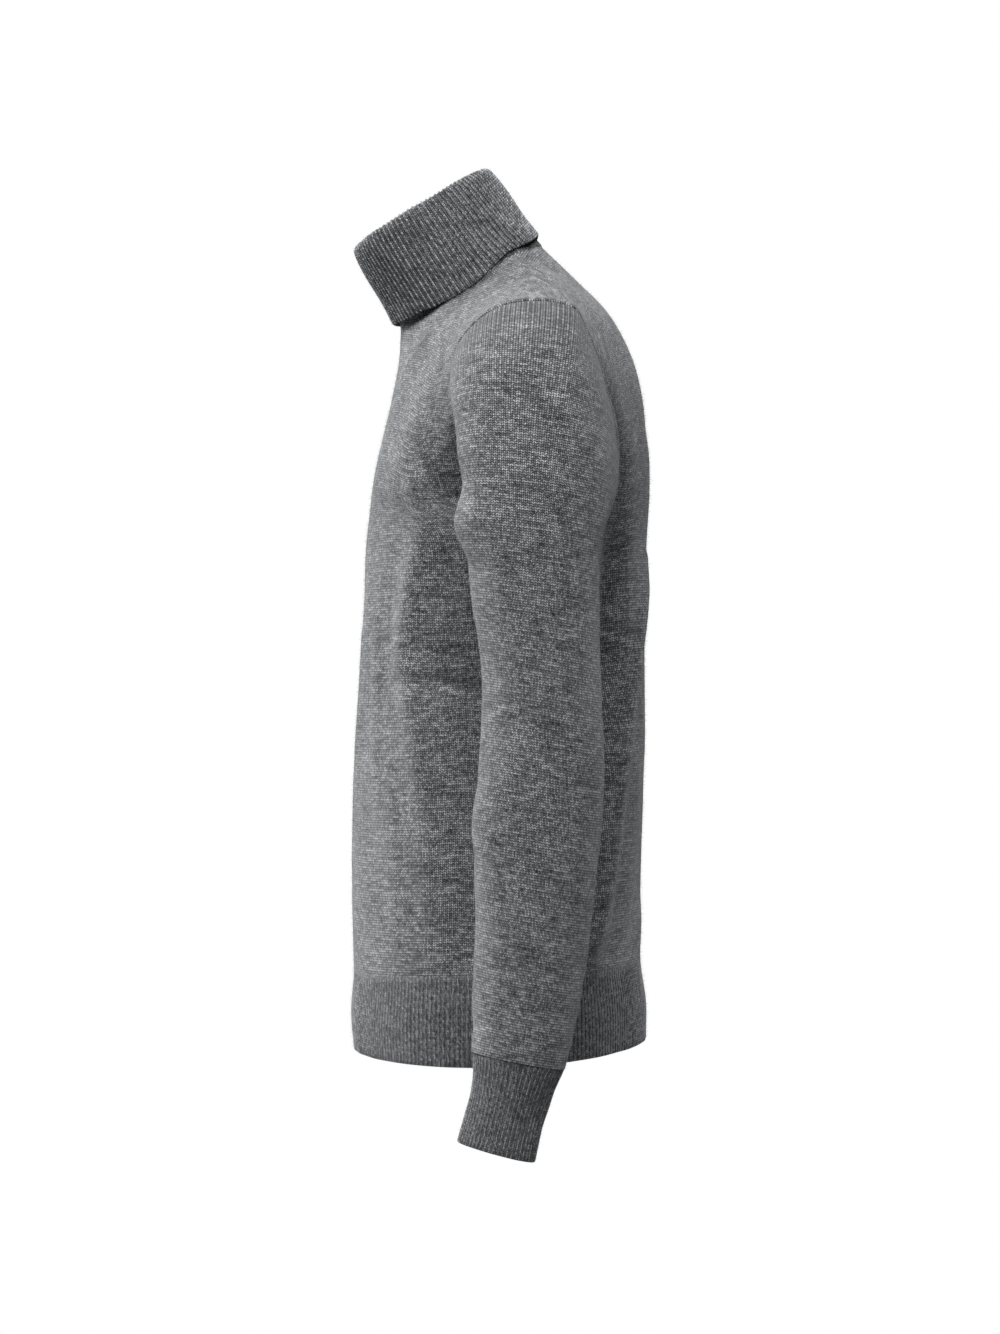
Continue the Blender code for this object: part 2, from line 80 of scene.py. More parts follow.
def travelled(points, axis=0):
    # distance gone at each point, along one axis of a grid
    steps = np.linalg.norm(np.diff(points, axis=axis), axis=-1)
    return np.insert(np.cumsum(steps, axis=axis), 0, 0, axis=axis)


def atShares(points, shares):
    # places at shares of the way along a line
    run = travelled(points)
    wanted = np.asarray(shares) * run[-1]
    return np.stack([np.interp(wanted, run, points[:, k]) for k in range(3)], axis=1)


def smoothStep(value):
    value = np.clip(value, 0, 1)
    return value * value * (3 - 2 * value)


def stepped(counts):
    # row numbers, with a count of steps from each row to the next
    parts = [np.linspace(k, k + 1, count, endpoint=False) for k, count in enumerate(counts)]
    return np.append(np.concatenate(parts), len(counts))


def withEdges(places, strip, ends=(True, True)):
    # extra lines close to an edge, where the cloth rolls into its seam
    extra = []
    for near, wanted, sign in ((places[0], ends[0], 1), (places[-1], ends[1], -1)):
        if wanted:
            extra += [near + sign * strip * share for share in (0.12, 0.3, 0.55, 0.8, 1.15)]
    return np.sort(np.concatenate([places, extra]))


def gridNormals(points, closed=False):
    if closed:
        across = np.roll(points, -1, axis=1) - np.roll(points, 1, axis=1)
    else:
        across = np.gradient(points, axis=1)
    return unit(np.cross(across, np.gradient(points, axis=0)))


def pushed(points, height, closed=False):
    return points + gridNormals(points, closed) * height[..., None]


def fromSides(points):
    # how far each point of a grid lies from the nearer side
    over = travelled(points, 1)
    return np.minimum(over, over[:, -1:] - over)


def roll(distance, radius):
    # how deep cloth lies at a distance from the edge that it turns in at
    inside = np.clip(radius - distance, 0, radius)
    return radius - np.sqrt(radius**2 - inside**2)


def ripple(points, height, size, seed):
    # slow, smooth unevenness
    values = [noise.noise(Vector(place)) for place in points.reshape(-1, 3) / size + seed * 7.31]
    return height * np.array(values).reshape(points.shape[:-1])


def foldHeights(shares, up, folds, size, closed=False):
    # a fold is a width and the points of its line: share across, place up and height, below 0 in a trough;
    # size is the girth that the shares are of, and on a closed ring the folds come round again
    across, total = shares * size, np.zeros(shares.shape)
    for width, *line in folds:
        nearest, height = np.full(shares.shape, np.inf), np.zeros(shares.shape)
        line = np.array(line) * (size, mm, mm)
        for start, end in zip(line, line[1:]):
            run = end[:2] - start[:2]
            for turn in (-size, 0, size) if closed else (0,):
                place = np.stack([across - start[0] + turn, up - start[1]], axis=-1)
                share = np.clip((place @ run) / (run @ run), 0, 1)
                off = np.linalg.norm(place - share[..., None] * run, axis=-1)
                height = np.where(off < nearest, start[2] + share * (end[2] - start[2]), height)
                nearest = np.minimum(nearest, off)
        total += height * np.exp(-((nearest / (width * mm)) ** 2))
    return total


def aroundWall(values):
    # what is given for the rows of the outside, for the whole loop of a wall
    return np.concatenate([values, values[-1:], values[::-1], values[:1]])


def plainObject(name, vertices, faces=(), edges=()):
    mesh = bpy.data.meshes.new(name)
    mesh.from_pydata(vertices, edges, faces)
    piece = bpy.data.objects.new(name, mesh)
    bpy.context.scene.collection.objects.link(piece)
    return piece


def gridFaces(rows, columns, rowSteps, columnSteps):
    # the faces of a grid, as (row, column) of their corners and as numbers of points
    r, c = (grid.ravel() for grid in np.meshgrid(np.arange(rowSteps), np.arange(columnSteps), indexing="ij"))
    corners = [(r, c), (r, c + 1), (r + 1, c + 1), (r + 1, c)]
    return corners, np.stack([(a % rows) * columns + b % columns for a, b in corners], axis=1)


def sideRim(half, column, flip):
    # faces that close a wall at one side: each outer row meets the inner row opposite
    rim = [(k, k + 1, 2 * half - k - 1, 2 * half - k) for k in range(half - 1)]
    rim += [(half - 1, half, half + 1), (2 * half + 1, 0, 2 * half)]
    return [[(row, column) for row in (rows[::-1] if flip else rows)] for rows in rim]


def clothShell(name, outer, inner, uv, closed, roundEdge):
    # a thin wall between two grids; the loop runs up the outside, over a rim and down the inside
    rims = []
    for end, beside, reach in ((-1, -2, 0), (0, 1, roundEdge)):
        rims.append(((outer[end] + inner[end]) / 2 + unit(outer[end] - outer[beside]) * reach)[None])
    loop = np.concatenate([outer, rims[0], inner[::-1], rims[1]])
    uvLoop = aroundWall(uv)
    rows, columns = loop.shape[:2]
    corners, faces = gridFaces(rows, columns, rows, columns if closed else columns - 1)
    faces = faces.tolist()
    uvs = [np.stack([uvLoop[a % rows, b] for a, b in corners], axis=1).reshape(-1, 2)]
    if not closed:
        rim = sideRim(len(outer), 0, False) + sideRim(len(outer), columns - 1, True)
        faces += [[a * columns + b for a, b in face] for face in rim]
        uvs += [[uvLoop[corner] for corner in face] for face in rim]
    piece = plainObject(name, loop.reshape(-1, 3).tolist(), faces)
    layer = piece.data.uv_layers.new(name="knit")
    layer.data.foreach_set("uv", np.concatenate(uvs).astype(np.float32).ravel())
    piece.data.shade_smooth()
    return piece


outsides = {}  # the outer face of every piece, for its loose fibres


def addCloth(node, points, sink, wall, across, closed, roundEdge=0.0):
    # a piece's wall, sunk below a grid; courses follow the rows and wales the columns, given in metres across
    normals, up = gridNormals(points, closed), travelled(points)
    outer = points - normals * sink[..., None]
    if closed:
        up = np.concatenate([up, up[:, :1]], axis=1)
    uv = np.stack([np.broadcast_to(across, up.shape), up], axis=-1)
    outsides[node] = (outer, closed)
    return clothShell(node + "_cloth", outer, outer - normals * wall, uv, closed, roundEdge)


def addValues(piece, name, values):
    # a number or a vector at every point of a wall
    kind, key = ("FLOAT_VECTOR", "vector") if values.ndim == 3 else ("FLOAT", "value")
    layer = piece.data.attributes.new(name, kind, "POINT")
    layer.data.foreach_set(key, aroundWall(values).astype(np.float32).ravel())


def finish(piece, material, slot, *nodes):
    piece.data.materials.clear()
    piece.data.materials.append(material)
    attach(piece, "root")
    if nodes:
        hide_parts(*nodes)


def setInputs(node, inputs):
    # an input takes a number, a colour, another node's output, or a node for that node's first output
    for key, value in inputs.items() if isinstance(inputs, dict) else enumerate(inputs):
        if isinstance(value, bpy.types.Node):
            value = value.outputs[0]
        if isinstance(value, bpy.types.NodeSocket):
            node.id_data.links.new(value, node.inputs[key])
        else:
            node.inputs[key].default_value = value


def addNode(tree, kind, inputs=(), **settings):
    node = tree.nodes.new(kind)
    for name, value in settings.items():
        setattr(node, name, value)
    setInputs(node, inputs)
    return node


def mathNodes(tree):
    # short ways to write a tree's calculations; an arch rises and falls once from 0 to 1
    def sums(operation, *values):
        return addNode(tree, "ShaderNodeMath", values, operation=operation)

    def times(first, second):
        return sums("MULTIPLY", first, second)

    def less(first, second):
        return sums("SUBTRACT", first, second)

    def arch(value):
        return sums("SINE", times(value, math.pi))

    return sums, times, less, arch


def ribWales(tree, place, width, rest):
    # arches of a rib's two wales at a place from 0 to 1: the knit one takes the width, the purl one the rest
    sums, _, less, arch = mathNodes(tree)
    knit = arch(sums("MINIMUM", sums("DIVIDE", place, width), 1.0))
    return knit, arch(sums("DIVIDE", sums("MAXIMUM", less(place, width), 0.0), rest))


wool = {
    "wale": 0.0024,
    "course": 0.0020,
    "slant": 0.55,  # how far the legs of a stitch climb, in courses
    "dark": (0.030, 0.031, 0.033),
    "mid": (0.202, 0.208, 0.220),
    "light": (0.600, 0.600, 0.600),
    "toneStops": (0.33, 0.50, 0.67),
    "ridge": 0.56,  # how much of a rib its knit wale takes
    "thin": 0.6,  # the power that thins the gaps between legs and the lines on a sleeve's head
    # shares of stitch, fleck, streak, patch and nap in the mixture of dark and light fibres;
    # the power of a leg, fuller when lower; tones to a wale; how much lighter a stitch is than the gaps,
    # which is painted shade
    "jersey": {"mix": (0.16, 0.22, 0.34, 0.12, 0.26), "leg": 1.0, "tones": 2, "contrast": 1.48},
    "rib": {"mix": (0.18, 0.22, 0.08, 0.12, 0.24), "leg": 0.45, "tones": 4, "contrast": 1.32},
    "gap": 0.06,  # painted shade: the colour left between stitches
    "purl": 0.40,  # painted shade: colour on a purl wale, of that on a knit one
    # steps to a wale and to a course, seed and detail
    "fleck": (2.2, 4.0, 3.1, 1.0),
    "streak": (0.22, 1.7, 11.7, 1.5),
    "patch": (0.12, 0.10, 23.3, 2.0),
    "cloudRoughness": 0.6,
    "nap": {"Scale": 1100, "Detail": 2, "Roughness": 0.7},
    "fibres": {"Scale": 1400, "Detail": 1},
    "fibreRelief": 0.4,
    "bump": {"Strength": 0.8, "Distance": 0.0006},
    "capLines": 0.0022,  # pitch of the lines that show where the sleeve is linked on
    "capCalm": 0.45,  # how much evener the mixture is there
    "edgeNarrow": 420,  # the painted shade line along a sleeve's seam: its narrowness and depth
    "edgeShade": 0.85,
    "finish": {
        "Roughness": 0.95,
        "Specular IOR Level": 0.15,
        "Sheen Weight": 0.34,
        "Sheen Roughness": 0.4,
        "Sheen Tint": (0.8, 0.82, 0.85, 1),
    },
}


def plainMaterial(name, inputs):
    material = bpy.data.materials.new(name)
    material.use_nodes = True
    setInputs(material.node_tree.nodes["Principled BSDF"], inputs)
    return material


def knitMaterial(name, shade=1.0, ribbed=False, grooves=(0.42, 1.02)):
    material = plainMaterial(name, wool["finish"])
    tree, look, ridge = material.node_tree, wool["rib" if ribbed else "jersey"], wool["ridge"]
    sums, times, less, arch = mathNodes(tree)

    def cloud(wales, courses, acrossSteps, upSteps, seed, detail):
        place = [times(wales, acrossSteps), times(courses, upSteps), seed]
        inputs = {"Scale": 1, "Detail": detail, "Roughness": wool["cloudRoughness"]}
        inputs["Vector"] = addNode(tree, "ShaderNodeCombineXYZ", place)
        return addNode(tree, "ShaderNodeTexNoise", inputs)

    knitPlace = addNode(tree, "ShaderNodeSeparateXYZ", [addNode(tree, "ShaderNodeUVMap", uv_map="knit")])
    wale = sums("DIVIDE", knitPlace.outputs[0], wool["wale"] * (2 if ribbed else 1))  # a rib is two wales
    course = sums("DIVIDE", knitPlace.outputs[1], wool["course"])

    # each stitch is two slanting legs
    middle = ridge / 2 if ribbed else 0.5
    side = times(sums("ABSOLUTE", less(sums("FRACT", wale), middle)), 1 / middle)
    leg = less(1, times(sums("ABSOLUTE", less(sums("FRACT", side), 0.5)), 2))
    climb = sums("ADD", course, times(side, wool["slant"]))
    stitch = times(sums("POWER", leg, wool["thin"]), sums("POWER", arch(sums("FRACT", climb)), look["leg"]))

    # dark and light fibres are mixed differently in every leg, and spun unevenly along each course
    legAcross, legUp = sums("FLOOR", times(wale, look["tones"])), sums("FLOOR", climb)
    legPlace = addNode(tree, "ShaderNodeCombineXYZ", [legAcross, legUp])
    legTone = addNode(tree, "ShaderNodeTexWhiteNoise", {"Vector": legPlace}, noise_dimensions="2D")
    fleck = cloud(wale, course, wool["fleck"][0] * look["tones"], *wool["fleck"][1:])
    streak = cloud(wale, sums("FLOOR", course), *wool["streak"])
    patch = cloud(wale, course, *wool["patch"])
    place = addNode(tree, "ShaderNodeTexCoord").outputs["Object"]
    nap = addNode(tree, "ShaderNodeTexNoise", {**wool["nap"], "Vector": place})
    tone = 0.5 - sum(look["mix"]) / 2
    for share, part in zip(look["mix"], (legTone, fleck, streak, patch, nap)):
        tone = sums("ADD", tone, times(part, share))
    if not ribbed:
        near = addNode(tree, "ShaderNodeAttribute", attribute_name="nearSeam").outputs["Fac"]
        tone = sums("ADD", tone, times(less(0.5, tone), times(near, wool["capCalm"])))
    ramp = addNode(tree, "ShaderNodeValToRGB", [tone])
    stops = ramp.color_ramp.elements
    stops.new(wool["toneStops"][1])
    for stop, position, colour in zip(stops, wool["toneStops"], ("dark", "mid", "light")):
        stop.position = position
        stop.color = tuple(value * shade for value in wool[colour]) + (1,)

    # painted shade: the colour is darkened in the gaps between legs, between ribs, between the drawn-in wales
    # of a sleeve head and in a narrow line along a sleeve's seam, where light hardly reaches
    depth = sums("ADD", wool["gap"], times(stitch, look["contrast"]))
    if ribbed:
        # painted shade: the purl wale and the grooves of each rib are darkened
        knit, purl = ribWales(tree, sums("FRACT", wale), ridge, 1 - ridge)
        height = sums("MAXIMUM", sums("MAXIMUM", knit, times(purl, wool["purl"])), 0)
        depth = times(depth, sums("ADD", grooves[0], times(height, grooves[1])))
    else:
        line = arch(sums("FRACT", sums("DIVIDE", knitPlace.outputs[0], wool["capLines"])))
        drawn = times(less(1, sums("POWER", line, wool["thin"])), near)
        # painted shade: a narrow dark line along the sleeve's seam, and darker drawn-in wales below it
        edge = times(sums("POWER", near, wool["edgeNarrow"]), wool["edgeShade"])
        depth = times(times(depth, less(1, drawn)), less(1, edge))
    colour = addNode(tree, "ShaderNodeVectorMath", {0: ramp, "Scale": depth}, operation="SCALE")
    fibres = addNode(tree, "ShaderNodeTexNoise", {**wool["fibres"], "Vector": place})
    surface = sums("ADD", stitch, times(fibres, wool["fibreRelief"]))
    bump = addNode(tree, "ShaderNodeBump", {**wool["bump"], "Height": surface})
    setInputs(tree.nodes["Principled BSDF"], {"Base Color": colour, "Normal": bump})
    return material


jerseyWool = knitMaterial("grey_melange_jersey")
ribWool = knitMaterial("grey_melange_rib", ribbed=True)
# a darker copy of the rib wool for the hem and the cuffs: painted shade of the garment's lower parts
shadedLowRibWool = knitMaterial("grey_melange_low_rib", shade=0.72, ribbed=True, grooves=(0.66, 0.60))

bodyCut = {
    # height, front, back, half width and depth of the side seam at each level, in millimetres
    "girths": np.array([
        (-648, -95.5, 149.5, 184, 33),
        (-610, -98.0, 149.0, 184, 33),
        (-574, -95.5, 144.5, 181, 33),
        (-520, -97.0, 144.0, 185, 33),
        (-460, -95.4, 146.4, 186, 34),
        (-400, -93.0, 148.2, 187, 36),
        (-340, -90.0, 148.2, 189, 38),
        (-280, -87.4, 148.0, 192, 42),
        (-220, -84.8, 149.6, 195, 46),
    ]),
    "firstAbove": 2,  # the level of the hem seam
    "roundness": 2.25,
    "neck": (0, 0, 0.068, 0.0672, 25),  # y, z, half width, half depth and tilt of the neck seam
    "neckPoint": 125,  # degrees round from the centre front
    "hemRise": 0.0375,  # the slope of the hem from front to back, and the depth at which it keeps its height
    "hemMiddle": 0.03,
    "topBlend": 1.5,  # levels over which the panel comes to its top edge
    "rowSteps": [20] * 6 + [14, 14, 11, 10, 9, 7, 5],  # rows of the mesh from each level to the next
    "arcSteps": 200,  # fineness of a body section and of the shoulder seam
    "seamSteps": 120,
    "edgeColumns": 0.045,  # width of the strips with extra columns and rows beside the seams, in table steps
    "edgeRows": 0.05,
    "halfSpread": 0.25,  # girth from the centre to a side seam, by which folds and creases are placed
    "foldsFromHem": 0.04,  # the large folds fade out over these distances from the hem and the armhole
    "foldsFromHole": 0.035,
    "foldsBelowHole": 0.025,
    "creasesFromSeam": 0.014,
    "seamRadius": 0.0014,
    "underCollar": 0.12,  # past this share of the neck's width a shoulder seam has its full roll
    "sharedRows": 12,  # below the armhole, and the strip beside the side seam, where the panels meet
    "sharedStrip": 0.03,
    "wall": 0.0017,
    "welt": (0.0009, 0.0042, 0.0030),  # height, place and width of a panel's swell beside its armhole seam
    "weltRows": 10,
    "halfKnit": 0.205,  # knitted width from the centre to a side seam
}
# from the neck point out to the armhole, in millimetres
shoulderSeam = mm * np.array([
    (55.7, 34.9, 16.3),
    (62, 38, 12.5),
    (78, 45, 10),
    (103, 54, 3),
    (130, 64.5, -6.5),
    (168, 75, -20.5),
    (205, 84, -35),
])
frontCut = {
    "facing": "front",
    "shares": (0, 0.24, 0.48, 0.73, 1),
    "neckColumns": 2,
    "columnSteps": 14,
    "unevenness": (0.0007, 0.045, 5),  # height and size in metres, and seed
    # from the underarm up: centre, side, neck, middle and armhole, in millimetres
    "levels": [
        [(0, -79, -178), (66, -78, -177), (112, -69, -174.5), (155, -47, -174), (187, 19, -195)],
        [(0, -71.5, -137), (71, -69.5, -136), (111, -59, -131), (151, -39, -128.5), (181.5, 3, -155)],
        [(0, -63.5, -102), (75, -58.5, -98.5), (107, -43.5, -90), (148, -25.5, -87), (181, -9, -110)],
        [(0, -58.5, -74), (76, -46.5, -64.5), (100, -22.5, -49.5), (146, -6.5, -50.5), (190, -8.5, -68)],
        [(0, -57, -52), (69, -31.5, -40.5), (86, 2, -23), (141, 22, -24.5), (203, 18, -39)],
        [(0, -57, -39), (61.5, -21.5, -24.5), (71, 24, 0), (135, 45, -11), (208, 50.5, -30.5)],
        [(0, -60.9, -28.4), (60.3, -28.1, -13.1), (55.7, 34.9, 16.3), (130, 64.5, -6.5), (205, 84, -35)],
    ],
    # width, then the points of the line: share of the way from the centre to the side seam, z and height;
    # all but the share are in millimetres
    "folds": [
        (30, (0.88, -190, -5.5), (0.78, -330, -5.5)),
        (45, (1, -230, -6), (1, -520, -5)),
        (30, (0.28, -280, 2.5), (0.2, -420, 2.5)),
        (32, (-0.86, -190, -5), (-0.74, -350, -5)),
        (45, (-1, -230, -5.5), (-1, -500, -4.5)),
        (32, (-0.34, -300, 2.5), (-0.24, -450, 2.5)),
    ],
    "creases": [
        # a long soft ridge from the underarm to the hem, where the front turns into the side
        (14, (0.94, -128, 3.4), (0.87, -150, 4.6), (0.8, -173, 5.8), (0.69, -203, 6.2), (0.61, -245, 6),
         (0.59, -322, 5.6), (0.66, -376, 4.6), (0.74, -480, 4), (0.78, -580, 3)),
        # the hollow behind it, pinched at the underarm
        (16, (0.975, -140, -8), (0.95, -205, -10.5), (0.9, -270, -11.5), (0.885, -350, -10),
         (0.9, -450, -6.5), (0.91, -570, -4)),
        (32, (0.93, -165, -7.8), (0.81, -230, -10.5), (0.85, -350, -8), (0.9, -480, -4.5), (0.92, -570, -3)),
        (9, (0.38, -280, 2.2), (0.44, -430, 2.2)),
        (8, (0.31, -270, 1.8), (0.32, -350, 1.8)),
        (9, (0.22, -300, 1.5), (0.2, -395, 1.5)),
        (10, (0.48, -250, -1.6), (0.5, -340, -1.6)),
        (7, (0.6, -323, 1.4), (0.9, -331, 1.4)),
        (7, (0.56, -336, -2.6), (0.9, -344, -3)),
        (8, (0.66, -352, 1.2), (0.9, -356, 1.2)),
        (18, (0.55, -440, 1.5), (0.62, -560, 1.5)),
        # the other side
        (14, (-0.92, -130, 3), (-0.8, -175, 4), (-0.69, -235, 4.2), (-0.62, -330, 4), (-0.7, -440, 3.6),
         (-0.76, -575, 2.6)),
        (16, (-0.97, -145, -7), (-0.94, -215, -8), (-0.9, -300, -7), (-0.89, -400, -6), (-0.91, -560, -4)),
        (34, (-0.9, -180, -4.5), (-0.85, -270, -5), (-0.86, -380, -4.5), (-0.91, -550, -3)),
        (11, (-0.4, -250, 2), (-0.46, -380, 2)),
        (8, (-0.52, -350, -1.8), (-0.88, -341, -1.8)),
        (18, (-0.56, -430, 1.8), (-0.6, -550, 1.8)),
        (16, (0.02, -330, 1.4), (0.05, -480, 1.4)),
        (15, (-0.14, -400, -1), (-0.1, -520, -1)),
    ],
}
backCut = {
    "facing": "back",
    "shares": (0, 0.29, 0.63, 1),
    "neckColumns": 1,
    "columnSteps": 19,
    "unevenness": (0.0007, 0.045, 4),
    # from the underarm up: centre, neck, middle and armhole
    "levels": [
        [(0, 152, -178), (76, 148, -177), (142, 130, -178.5), (188, 101, -210)],
        [(0, 151, -140), (78, 147, -137), (144, 130, -137.5), (182, 120.5, -170.5)],
        [(0, 147, -103), (78, 141.5, -98.5), (143, 126, -101.5), (182, 120.5, -135)],
        [(0, 137, -65), (76, 131.5, -64.5), (141, 118, -69), (186, 113.5, -104.5)],
        [(0, 118, -29), (73, 112.5, -31), (138, 104, -39.5), (193, 105.5, -76)],
        [(0, 90, 0), (66, 76.5, 0), (134, 84.5, -18.5), (200, 95, -50.5)],
        [(0, 60.9, 28.4), (55.7, 34.9, 16.3), (130, 64.5, -6.5), (205, 84, -35)],
    ],
    "folds": [
        (32, (0.3, -270, 6), (0.68, -560, 6)),
        (34, (0.66, -260, -5), (0.92, -500, -5)),
        (45, (1, -230, -6), (1, -520, -5)),
        (34, (-0.34, -260, 5), (-0.66, -550, 5)),
        (32, (-0.7, -280, -5), (-0.94, -520, -5)),
        (45, (-1, -230, -5.5), (-1, -500, -4.5)),
    ],
    "creases": [
        # a ridge that runs down and out, with a deep trough beside it and a valley behind it
        (11, (0.28, -235, 3.4), (0.42, -310, 4.4), (0.55, -405, 5), (0.62, -498, 5), (0.7, -570, 4)),
        (17, (0.92, -100, -7), (0.8, -130, -9), (0.64, -165, -11), (0.56, -240, -14), (0.6, -320, -16),
         (0.7, -405, -16), (0.78, -498, -15), (0.84, -572, -10)),
        (17, (0.28, -320, -5), (0.42, -420, -6.5), (0.49, -500, -6.5), (0.56, -565, -5)),
        (16, (0.1, -420, -1.6), (0.34, -560, -1.6)),
        (14, (0.86, -215, 2), (0.78, -300, 2)),
        # the other side
        (12, (-0.32, -230, 3.4), (-0.52, -370, 4.2), (-0.66, -560, 3.8)),
        (16, (-0.8, -115, -5), (-0.62, -170, -8), (-0.57, -260, -10), (-0.65, -370, -12),
         (-0.76, -470, -11), (-0.84, -565, -8)),
        (16, (-0.12, -400, -1.5), (-0.3, -550, -1.5)),
        (14, (-0.84, -220, 1.8), (-0.76, -310, 1.8)),
        (16, (-0.16, -120, -1.2), (0.18, -128, -1.2)),
        (16, (-0.3, -520, 1.2), (0.22, -545, 1.2)),
    ],
}
hemLine = bodyCut["girths"][bodyCut["firstAbove"], 0] * mm
holeLine = bodyCut["girths"][-1, 0] * mm


def bodySection(z, across, facing):
    # points at signed shares of the way from the centre to the side seams, at one level
    girths = bodyCut["girths"]
    level = np.interp(z / mm, girths[:, 0], range(len(girths)))
    _, front, back, halfWidth, side = along(girths, level)[0] * mm
    turn = np.linspace(0, math.pi / 2, bodyCut["arcSteps"])
    reach = (front if facing == "front" else back) - side
    x = halfWidth * np.sin(turn) ** (2 / bodyCut["roundness"])
    y = side + reach * np.cos(turn).clip(0) ** (2 / bodyCut["roundness"])
    points = atShares(np.stack([x, y, np.full_like(x, z)], axis=1), np.abs(across))
    points[:, 0] *= np.sign(across)
    return points


def hemTilt(points):
    moved = points.copy()
    moved[..., 2] += bodyCut["hemRise"] * (points[..., 1] - bodyCut["hemMiddle"])
    return moved


def ringPoint(degrees, y, z, halfWidth, halfDepth, tilt):
    angle, slope = np.radians(degrees), np.radians(tilt)
    forward = -halfDepth * np.cos(angle)
    x = halfWidth * np.sin(angle)
    return np.stack([x, y + forward * np.cos(slope), z + forward * np.sin(slope)], axis=-1)


def topEdge(cut, places):
    # the neckline, then the shoulder seam on each side
    last, neck = len(cut["shares"]) - 1, cut["neckColumns"]
    start = 0 if cut["facing"] == "front" else 180
    seamLine = along(shoulderSeam, np.linspace(0, len(shoulderSeam) - 1, bodyCut["seamSteps"]))
    points = []
    for place in places:
        column = abs(place)
        if column <= neck:
            degrees = start + (bodyCut["neckPoint"] - start) * column / neck
            point = ringPoint(degrees, *bodyCut["neck"])
        else:
            point = atShares(seamLine, [(column - neck) / (last - neck)])[0]
        points.append(point * (math.copysign(1, place), 1, 1))
    return np.array(points)


def beyondTop(net, places, cut, other):
    # a level past the top, which sets the panel's slope there
    others = np.array(other["levels"][-2]) * mm
    past = along(others, np.abs(places) - len(cut["shares"]) + len(others))
    past[:, 0] *= np.sign(places)
    straight = 2 * net[-1] - net[-2]
    return np.where(np.abs(places)[:, None] < cut["neckColumns"], straight, past)


def panelGrid(cut, other):
    # a panel's face as a grid: rows from the hem seam up,
    # columns to the wearer's left on the front and to the right on the back
    last = len(cut["shares"]) - 1
    places = withEdges(np.linspace(-last, last, 2 * last * cut["columnSteps"] + 1), bodyCut["edgeColumns"])
    across = np.interp(np.abs(places), range(last + 1), cut["shares"]) * np.sign(places)
    net = [bodySection(z * mm, across, cut["facing"]) for z in bodyCut["girths"][bodyCut["firstAbove"] :, 0]]
    net[0] = hemTilt(net[0])
    for level in cut["levels"]:
        left = np.array(level) * mm
        net.append(along(np.concatenate([left[:0:-1] * (-1, 1, 1), left]), places + last))
    net.append(beyondTop(net, places, cut, other))
    rows = withEdges(stepped(bodyCut["rowSteps"]), bodyCut["edgeRows"])
    points = along(net, rows)
    close = smoothStep((rows - rows[-1]) / bodyCut["topBlend"] + 1)[:, None, None]
    points = points + close * (topEdge(cut, places) - points[-1])
    across = np.broadcast_to(across, points.shape[:2])
    if cut["facing"] == "back":
        points, across = points[:, ::-1], across[:, ::-1]
    z, size = points[..., 2], bodyCut["halfSpread"]
    up, beside = travelled(points), fromSides(points)
    large = foldHeights(across, z, cut["folds"], size)
    large *= smoothStep((z - hemLine) / bodyCut["foldsFromHem"])
    besideHole = 1 - smoothStep(beside / bodyCut["foldsFromHole"])
    large *= 1 - besideHole * smoothStep((z - holeLine) / bodyCut["foldsBelowHole"] + 1)
    small = foldHeights(across, z, cut["creases"], size) + ripple(points, *cut["unevenness"])
    small *= smoothStep(np.min([up, up[-1] - up, beside], axis=0) / bodyCut["creasesFromSeam"])
    return pushed(points, large + small), across, rows


def addPanel(cut, points, across):
    up, side = travelled(points), fromSides(points)
    pastNeck = np.abs(across[-1]) / cut["shares"][cut["neckColumns"]] - 1
    # the neckline stays flat, as the collar hides it
    top = up[-1] - up + smoothStep(1 - pastNeck / bodyCut["underCollar"]) * bodyCut["seamRadius"]
    sink = roll(np.minimum(side, top), bodyCut["seamRadius"])
    height, place, width = bodyCut["welt"]
    besideHole = smoothStep((np.arange(len(points)) - underarm) / bodyCut["weltRows"])[:, None]
    sink = sink - besideHole * height * np.exp(-(((side - place) / width) ** 2))
    node = cut["facing"] + "_panel"
    piece = addCloth(node, points, sink, bodyCut["wall"], across * bodyCut["halfKnit"], False)
    finish(piece, jerseyWool, "jersey_knit", node)


frontPoints, frontAcross, rowPlaces = panelGrid(frontCut, backCut)
backPoints, backAcross, _ = panelGrid(backCut, frontCut)
underarm = int(np.argmin(np.abs(rowPlaces - (len(bodyCut["girths"]) - 1 - bodyCut["firstAbove"]))))
# both panels share the line of each side seam, and the start and the end of each armhole
belowHole = 1 - smoothStep((np.arange(len(frontPoints)) - underarm) / bodyCut["sharedRows"])
for frontEdge, backEdge in ((0, -1), (-1, 0)):
    shared = (frontPoints[:, frontEdge] + backPoints[:, backEdge]) / 2
    for points, edge in ((frontPoints, frontEdge), (backPoints, backEdge)):
        shift = shared - points[:, edge]
        shift[underarm + 1 :] = shift[underarm]
        over = travelled(points, 1)
        beside = 1 - smoothStep(np.abs(over - over[:, edge : edge + 1 or None]) / bodyCut["sharedStrip"])
        points += (belowHole[:, None] * beside)[..., None] * shift[:, None]
        points[-1, edge] = shared[-1]
addPanel(frontCut, frontPoints, frontAcross)
addPanel(backCut, backPoints, backAcross)
print("body panels knitted")

